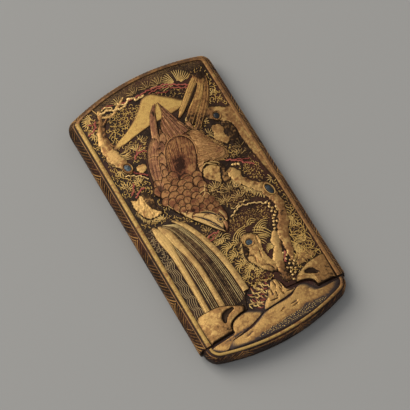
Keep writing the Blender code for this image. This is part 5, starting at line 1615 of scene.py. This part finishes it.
# The base's own picture: rocks and a shore of sandy gold over raised paste, reeds brushed on in gold and red
# line, and rows of dots sprinkled over the dark foot of the rock.
sandy_gold = lacquer(
    "sandy gold", (0.50, 0.29, 0.095), (0.29, 0.15, 0.052), (0.055, 0.040, 0.036), thin=0.2, streak=0.5,
    along=0.3, across=1.2)
BASE_ROCK = [(-25, -62.3), (-19, -61.8), (-13, -61), (-8, -59.4), (-4, -57.7), (2, -57.1), (8, -56.9),
             (12, -56.2), (14.6, -54.6), (17, -53.9), (19.6, -55), (21.2, -57.4), (23.4, -59.7), (28, -60.4),
             (33, -60.4), (32, -62), (28.6, -64.6), (24, -66.2), (16, -67.6), (8, -68.3), (0, -68.4),
             (-8, -67.8), (-15, -67), (-21, -65.9), (-25, -64.6)]
base_rock = boss(BASE_ROCK, 0.6, base_front, count=180, rings=30, flat=0.6, rough=0.06, size=6, spacing=1.15,
                 middle=(4, -61.6), turn=0.1, tint=0.05)
base_rock = shaded(
    base_rock,
    ((-5, -67, 8, 1.7, -2.3), (8, -66.4, 9, 2.2, -2.6), (20, -65.4, 8, 1.8, -2.1), (28, -63.6, 4, 1.6, -1.2),
     (-15, -66.6, 5, 1.0, -0.9), (-20, -63.6, 4, 1.0, 0.6), (3, -58.6, 9, 1.2, 0.25), (26, -61, 5, 1.0, -0.6),
     (14, -60, 4, 3, -0.2)))
for gouge, darkness in (
        ([(8.6, -60.2), (11.4, -60.0)], 1.8), ([(9.4, -61.6), (10.8, -61.2)], 1.4),
        ([(-16, -63.7), (-13.4, -62.8)], 1.6), ([(3, -61), (5, -60.2)], 0.6),
        ([(18, -58.6), (20, -57.2)], 0.5)):
    base_rock = dented(base_rock, gouge, (0.5, 0.9), 0.35, darkness)
LEFT_SHORE = [
    (-20.2, -59.4), (-19.6, -57), (-18.4, -55), (-16, -53.6), (-12.6, -53.1), (-10, -53.3), (-7.4, -54.6),
    (-4, -57), (-8, -58.8), (-14, -60.6), (-20, -61.6), (-25, -62.1), (-26.6, -64.6), (-29, -64.2),
    (-32, -62), (-32.4, -60.6), (-28, -60.2), (-23, -59.9)]
left_shore = boss(
    LEFT_SHORE, 0.55, base_front, count=150, rings=18, flat=0.65, rough=0.06, size=5, middle=(-20, -60.4),
    tint=-0.2, turn=0.3)
left_shore = shaded(
    left_shore,
    ((-16, -60.6, 5, 0.8, -1.6), (-17, -55.6, 1.6, 1.6, 0.3), (-12, -55.4, 4, 1.6, 0.3),
     (-30, -61.4, 2.4, 1.6, 0.8), (-24, -61, 3, 0.7, -0.9), (-9, -57.4, 4, 0.7, -0.6)))
BASE_CRAG = [(-3.4, -57), (-1.6, -54), (0.4, -52.8), (1.6, -51.4), (2, -49.8), (3.4, -49.4), (4.6, -47.8),
             (5.6, -46.4), (7.6, -46.1), (9, -47), (9.7, -49.6), (10.3, -52.6), (12, -54), (14.4, -54.6),
             (12, -55.8), (6, -56.6), (0, -57)]
base_crag = boss(
    BASE_CRAG, 0.85, base_front, count=130, rings=20, flat=0.7, rough=0.1, middle=(5.4, -53.4), tint=0.1)
for gouge in ([(3.9, -50.2), (3.6, -52.6)], [(6.6, -47), (6.8, -49.6)], [(8.6, -47.4), (8.9, -51.4)],
              [(7.8, -51), (8.0, -54.6)], [(5.4, -52), (5.2, -54)], [(10.2, -54.2), (13, -54.6)],
              [(1.4, -54.6), (4.6, -55)]):
    base_crag = dented(base_crag, gouge, (0.5, 0.7), 0.45, 1.7)
relief("base_rocks", [base_rock, left_shore, base_crag], sandy_gold)
REED_ZONE = [(-8.8, -52.6), (-6, -49.6), (-5, -47), (-3.4, -45), (0, -44.2), (4, -44.2), (6, -45), (5, -46.8),
             (3, -49.6), (1, -51.8), (-1.6, -53.6), (-4.2, -56.4)]
reed_points = scatter(REED_ZONE, 1.35, 51)
reeds = curls(reed_points, 3.4, 0.8, 51, heading=-2.4, spread_by=0.12) + (2.4, 2.2)
reed_tints = np.random.default_rng(52).uniform(-0.7, 0.5, len(reeds))
is_red = np.random.default_rng(53).random(len(reeds)) < 0.3
reed_widths = (0.2, 0.5, 0.7, 0.7, 0.5, 0.2)
relief("base_reeds", [strokes(reeds[~is_red], reed_widths, 0.4, base_front, tints=reed_tints[~is_red])],
       pale_line_gold)
relief("base_red_reeds", [strokes(reeds[is_red], reed_widths, 0.34, base_front, tints=reed_tints[is_red])],
       red_lacquer)

# The rows of dots.
DOT_ZONE = [(-12, -66.4), (-8, -65.2), (0, -64.6), (10, -64.2), (22, -64.4), (24, -65.4), (14, -67.2),
            (4, -67.9), (-6, -67.4)]
dots = scatter(DOT_ZONE, 0.95, 54)[:, None] + np.linspace(-0.2, 0.2, 3)[None, :, None] * (1.0, 0.1)
relief("base_dots", [strokes(dots, 0.34, 0.7, base_front, tints=0.4)], pale_line_gold)

# The side walls: a feather pattern of thin gold lines, brushed on from the back's roll up to the bead. Its
# slant turns from stretch to stretch, and a broader bright line marks each turn.


class Wall:
    """The outside of one half, unrolled: along its outline, and up from the middle of its band."""

    ROLL_GIRTH = 6.4
    SHOULDER_GIRTH = 5.2

    def __init__(self, inset, step):
        ends = [end_curve(far, inset) for far in (True, False)]
        inner = [end_curve(far, inset + MM) for far in (True, False)]
        ring, within = np.concatenate(ends), np.concatenate(inner)
        ring, within = np.vstack([ring, ring[:1]]), np.vstack([within, within[:1]])
        self.travelled = distances(ring) / MM
        self.ring, self.normal = ring, (ring - within) / MM
        self.inset, self.step = inset, step

    def at(self, along, up, out=0.0):
        """Point on the wall: a quarter ellipse down to the back, the band, and a quarter ellipse up."""
        along = np.mod(along, self.travelled[-1])
        place = np.stack([np.interp(along, self.travelled, self.ring[:, k]) for k in (0, 1)], -1)
        normal = np.stack([np.interp(along, self.travelled, self.normal[:, k]) for k in (0, 1)], -1)
        normal /= np.linalg.norm(normal, axis=-1, keepdims=True)
        half = SIDE_BAND / 2 / MM
        down = np.clip((-up - half) / self.ROLL_GIRTH, 0, 1) * math.pi / 2
        rise = np.clip((up - half) / self.SHOULDER_GIRTH, 0, 1) * math.pi / 2
        drawn = ((BACK_ROLL_WIDTH - self.inset) * (1 - np.cos(down))
                 + (SHOULDER_WIDTH - self.inset) * (1 - np.cos(rise)))
        height = (BACK_ROLL + SIDE_BAND / 2 + np.clip(up, -half, half) * MM
                  - (BACK_ROLL - self.step) * np.sin(down) + (SHOULDER - self.step) * np.sin(rise))
        level = np.cos(down) * np.cos(rise)
        upward = np.sin(rise) - np.sin(down)
        spot = place - normal * drawn[..., None]
        height = height + crown_rise(spot[..., 0]) * (rise > 0)
        spot = spot + normal * (out * MM * level)[..., None]
        return np.concatenate([spot, (height + out * MM * upward)[..., None]], -1)

    def strokes(self, starts, ends, widths, height, tints, count=5):
        """Raised strokes on the wall from starts to ends, with flat-topped sections, darker low down as
        painted shade.
        """
        share = np.linspace(0, 1, count)[None, :, None]
        path = starts[:, None] + (ends - starts)[:, None] * share
        run = (ends - starts) / np.linalg.norm(ends - starts, axis=1)[:, None]
        side = np.stack([-run[:, 1], run[:, 0]], 1)[:, None, None]
        half = np.broadcast_to(np.asarray(widths, float), len(starts))[:, None, None, None] / 2
        spots = path[:, :, None] + side * half * ACROSS[:, None]
        out = np.broadcast_to(np.where(np.abs(ACROSS) < 0.9, height, -0.12), spots.shape[:3])
        verts = self.at(spots[..., 0], spots[..., 1], out).reshape(-1, 3)
        quads = stroke_faces(len(starts), count)
        # Painted shade: the strokes darken towards the back, where the wall rolls under away from the lamp.
        tint = np.asarray(tints)[:, None] + np.clip((path[..., 1] - 3) / 3.5, -2.0, 0.0)
        tint = np.repeat(tint.ravel(), 4)
        edge = np.broadcast_to(np.where(np.abs(ACROSS) < 0.9, 1.0, 0.35), spots.shape[:3]).ravel()
        return verts, [quads], edge, tint, np.zeros((len(verts), 2))


def feather_pattern(wall, first, last, rising, falling, tint, seed):
    """Slanting strokes from the back roll up to the bead, in stretches that rise and fall in turn.

    The strokes are cut where the stretches meet, and a broader one runs down beside each of those places.
    """
    rng = np.random.default_rng(seed)
    low, high, lean = -6.6, 5.4, 13.0
    starts, ends, widths, tints = [], [], [], []
    place, slant = first, 1
    while place < last:
        until = min(place + (rising if slant > 0 else falling), last)
        foot = np.arange(place - lean + 0.7, until + lean, 1.9)
        turned = (place - foot, until - foot) if slant > 0 else (foot - until, foot - place)
        shares = np.clip(np.stack(turned) / lean, 0.0, 1.0)
        foot, shares = foot[shares[1] - shares[0] > 0.08], shares[:, shares[1] - shares[0] > 0.08]
        for spots, share in zip((starts, ends), shares):
            spots.append(np.column_stack([foot + slant * lean * share, low + (high - low) * share]))
        broad = np.abs(foot + slant * lean * shares[1] - (until if slant > 0 else place)) < 0.8
        widths.append(np.where(broad, 0.55, 0.28))
        tints.append(np.where(broad, 0.3, rng.uniform(-1.2, -0.1, len(foot))) + tint)
        place, slant = until, -slant
    return wall.strokes(
        np.concatenate(starts), np.concatenate(ends), np.concatenate(widths), 0.1, np.concatenate(tints), 20)


side_gold = lacquer(
    "side gold", (0.50, 0.26, 0.08), (0.26, 0.115, 0.036), DARK, thin=0.1, metallic=0.1, shine=0.05)
cover_wall = Wall(0.0, 0.0)
base_wall = Wall(BASE_INSET, BASE_STEP)
HALF_RING = len(cover_wall.ring) // 2
joint_gap = 0.5 * MM
cover_first = -(cover_wall.ring[0, 1] - joint_y - joint_gap) / MM
cover_last = cover_wall.travelled[HALF_RING - 1] + (
    cover_wall.ring[HALF_RING - 1, 1] - joint_y - joint_gap) / MM
base_first = base_wall.travelled[HALF_RING] - (joint_y - joint_gap - base_wall.ring[HALF_RING, 1]) / MM
base_last = base_wall.travelled[-2] + (joint_y - joint_gap - base_wall.ring[-2, 1]) / MM
relief("cover_wall_pattern", [feather_pattern(cover_wall, cover_first, cover_last, 22.0, 12.5, 0.0, 61)],
       side_gold)
relief("base_wall_pattern", [feather_pattern(base_wall, base_first, base_last, 20.0, 9.0, -0.8, 62)],
       side_gold)
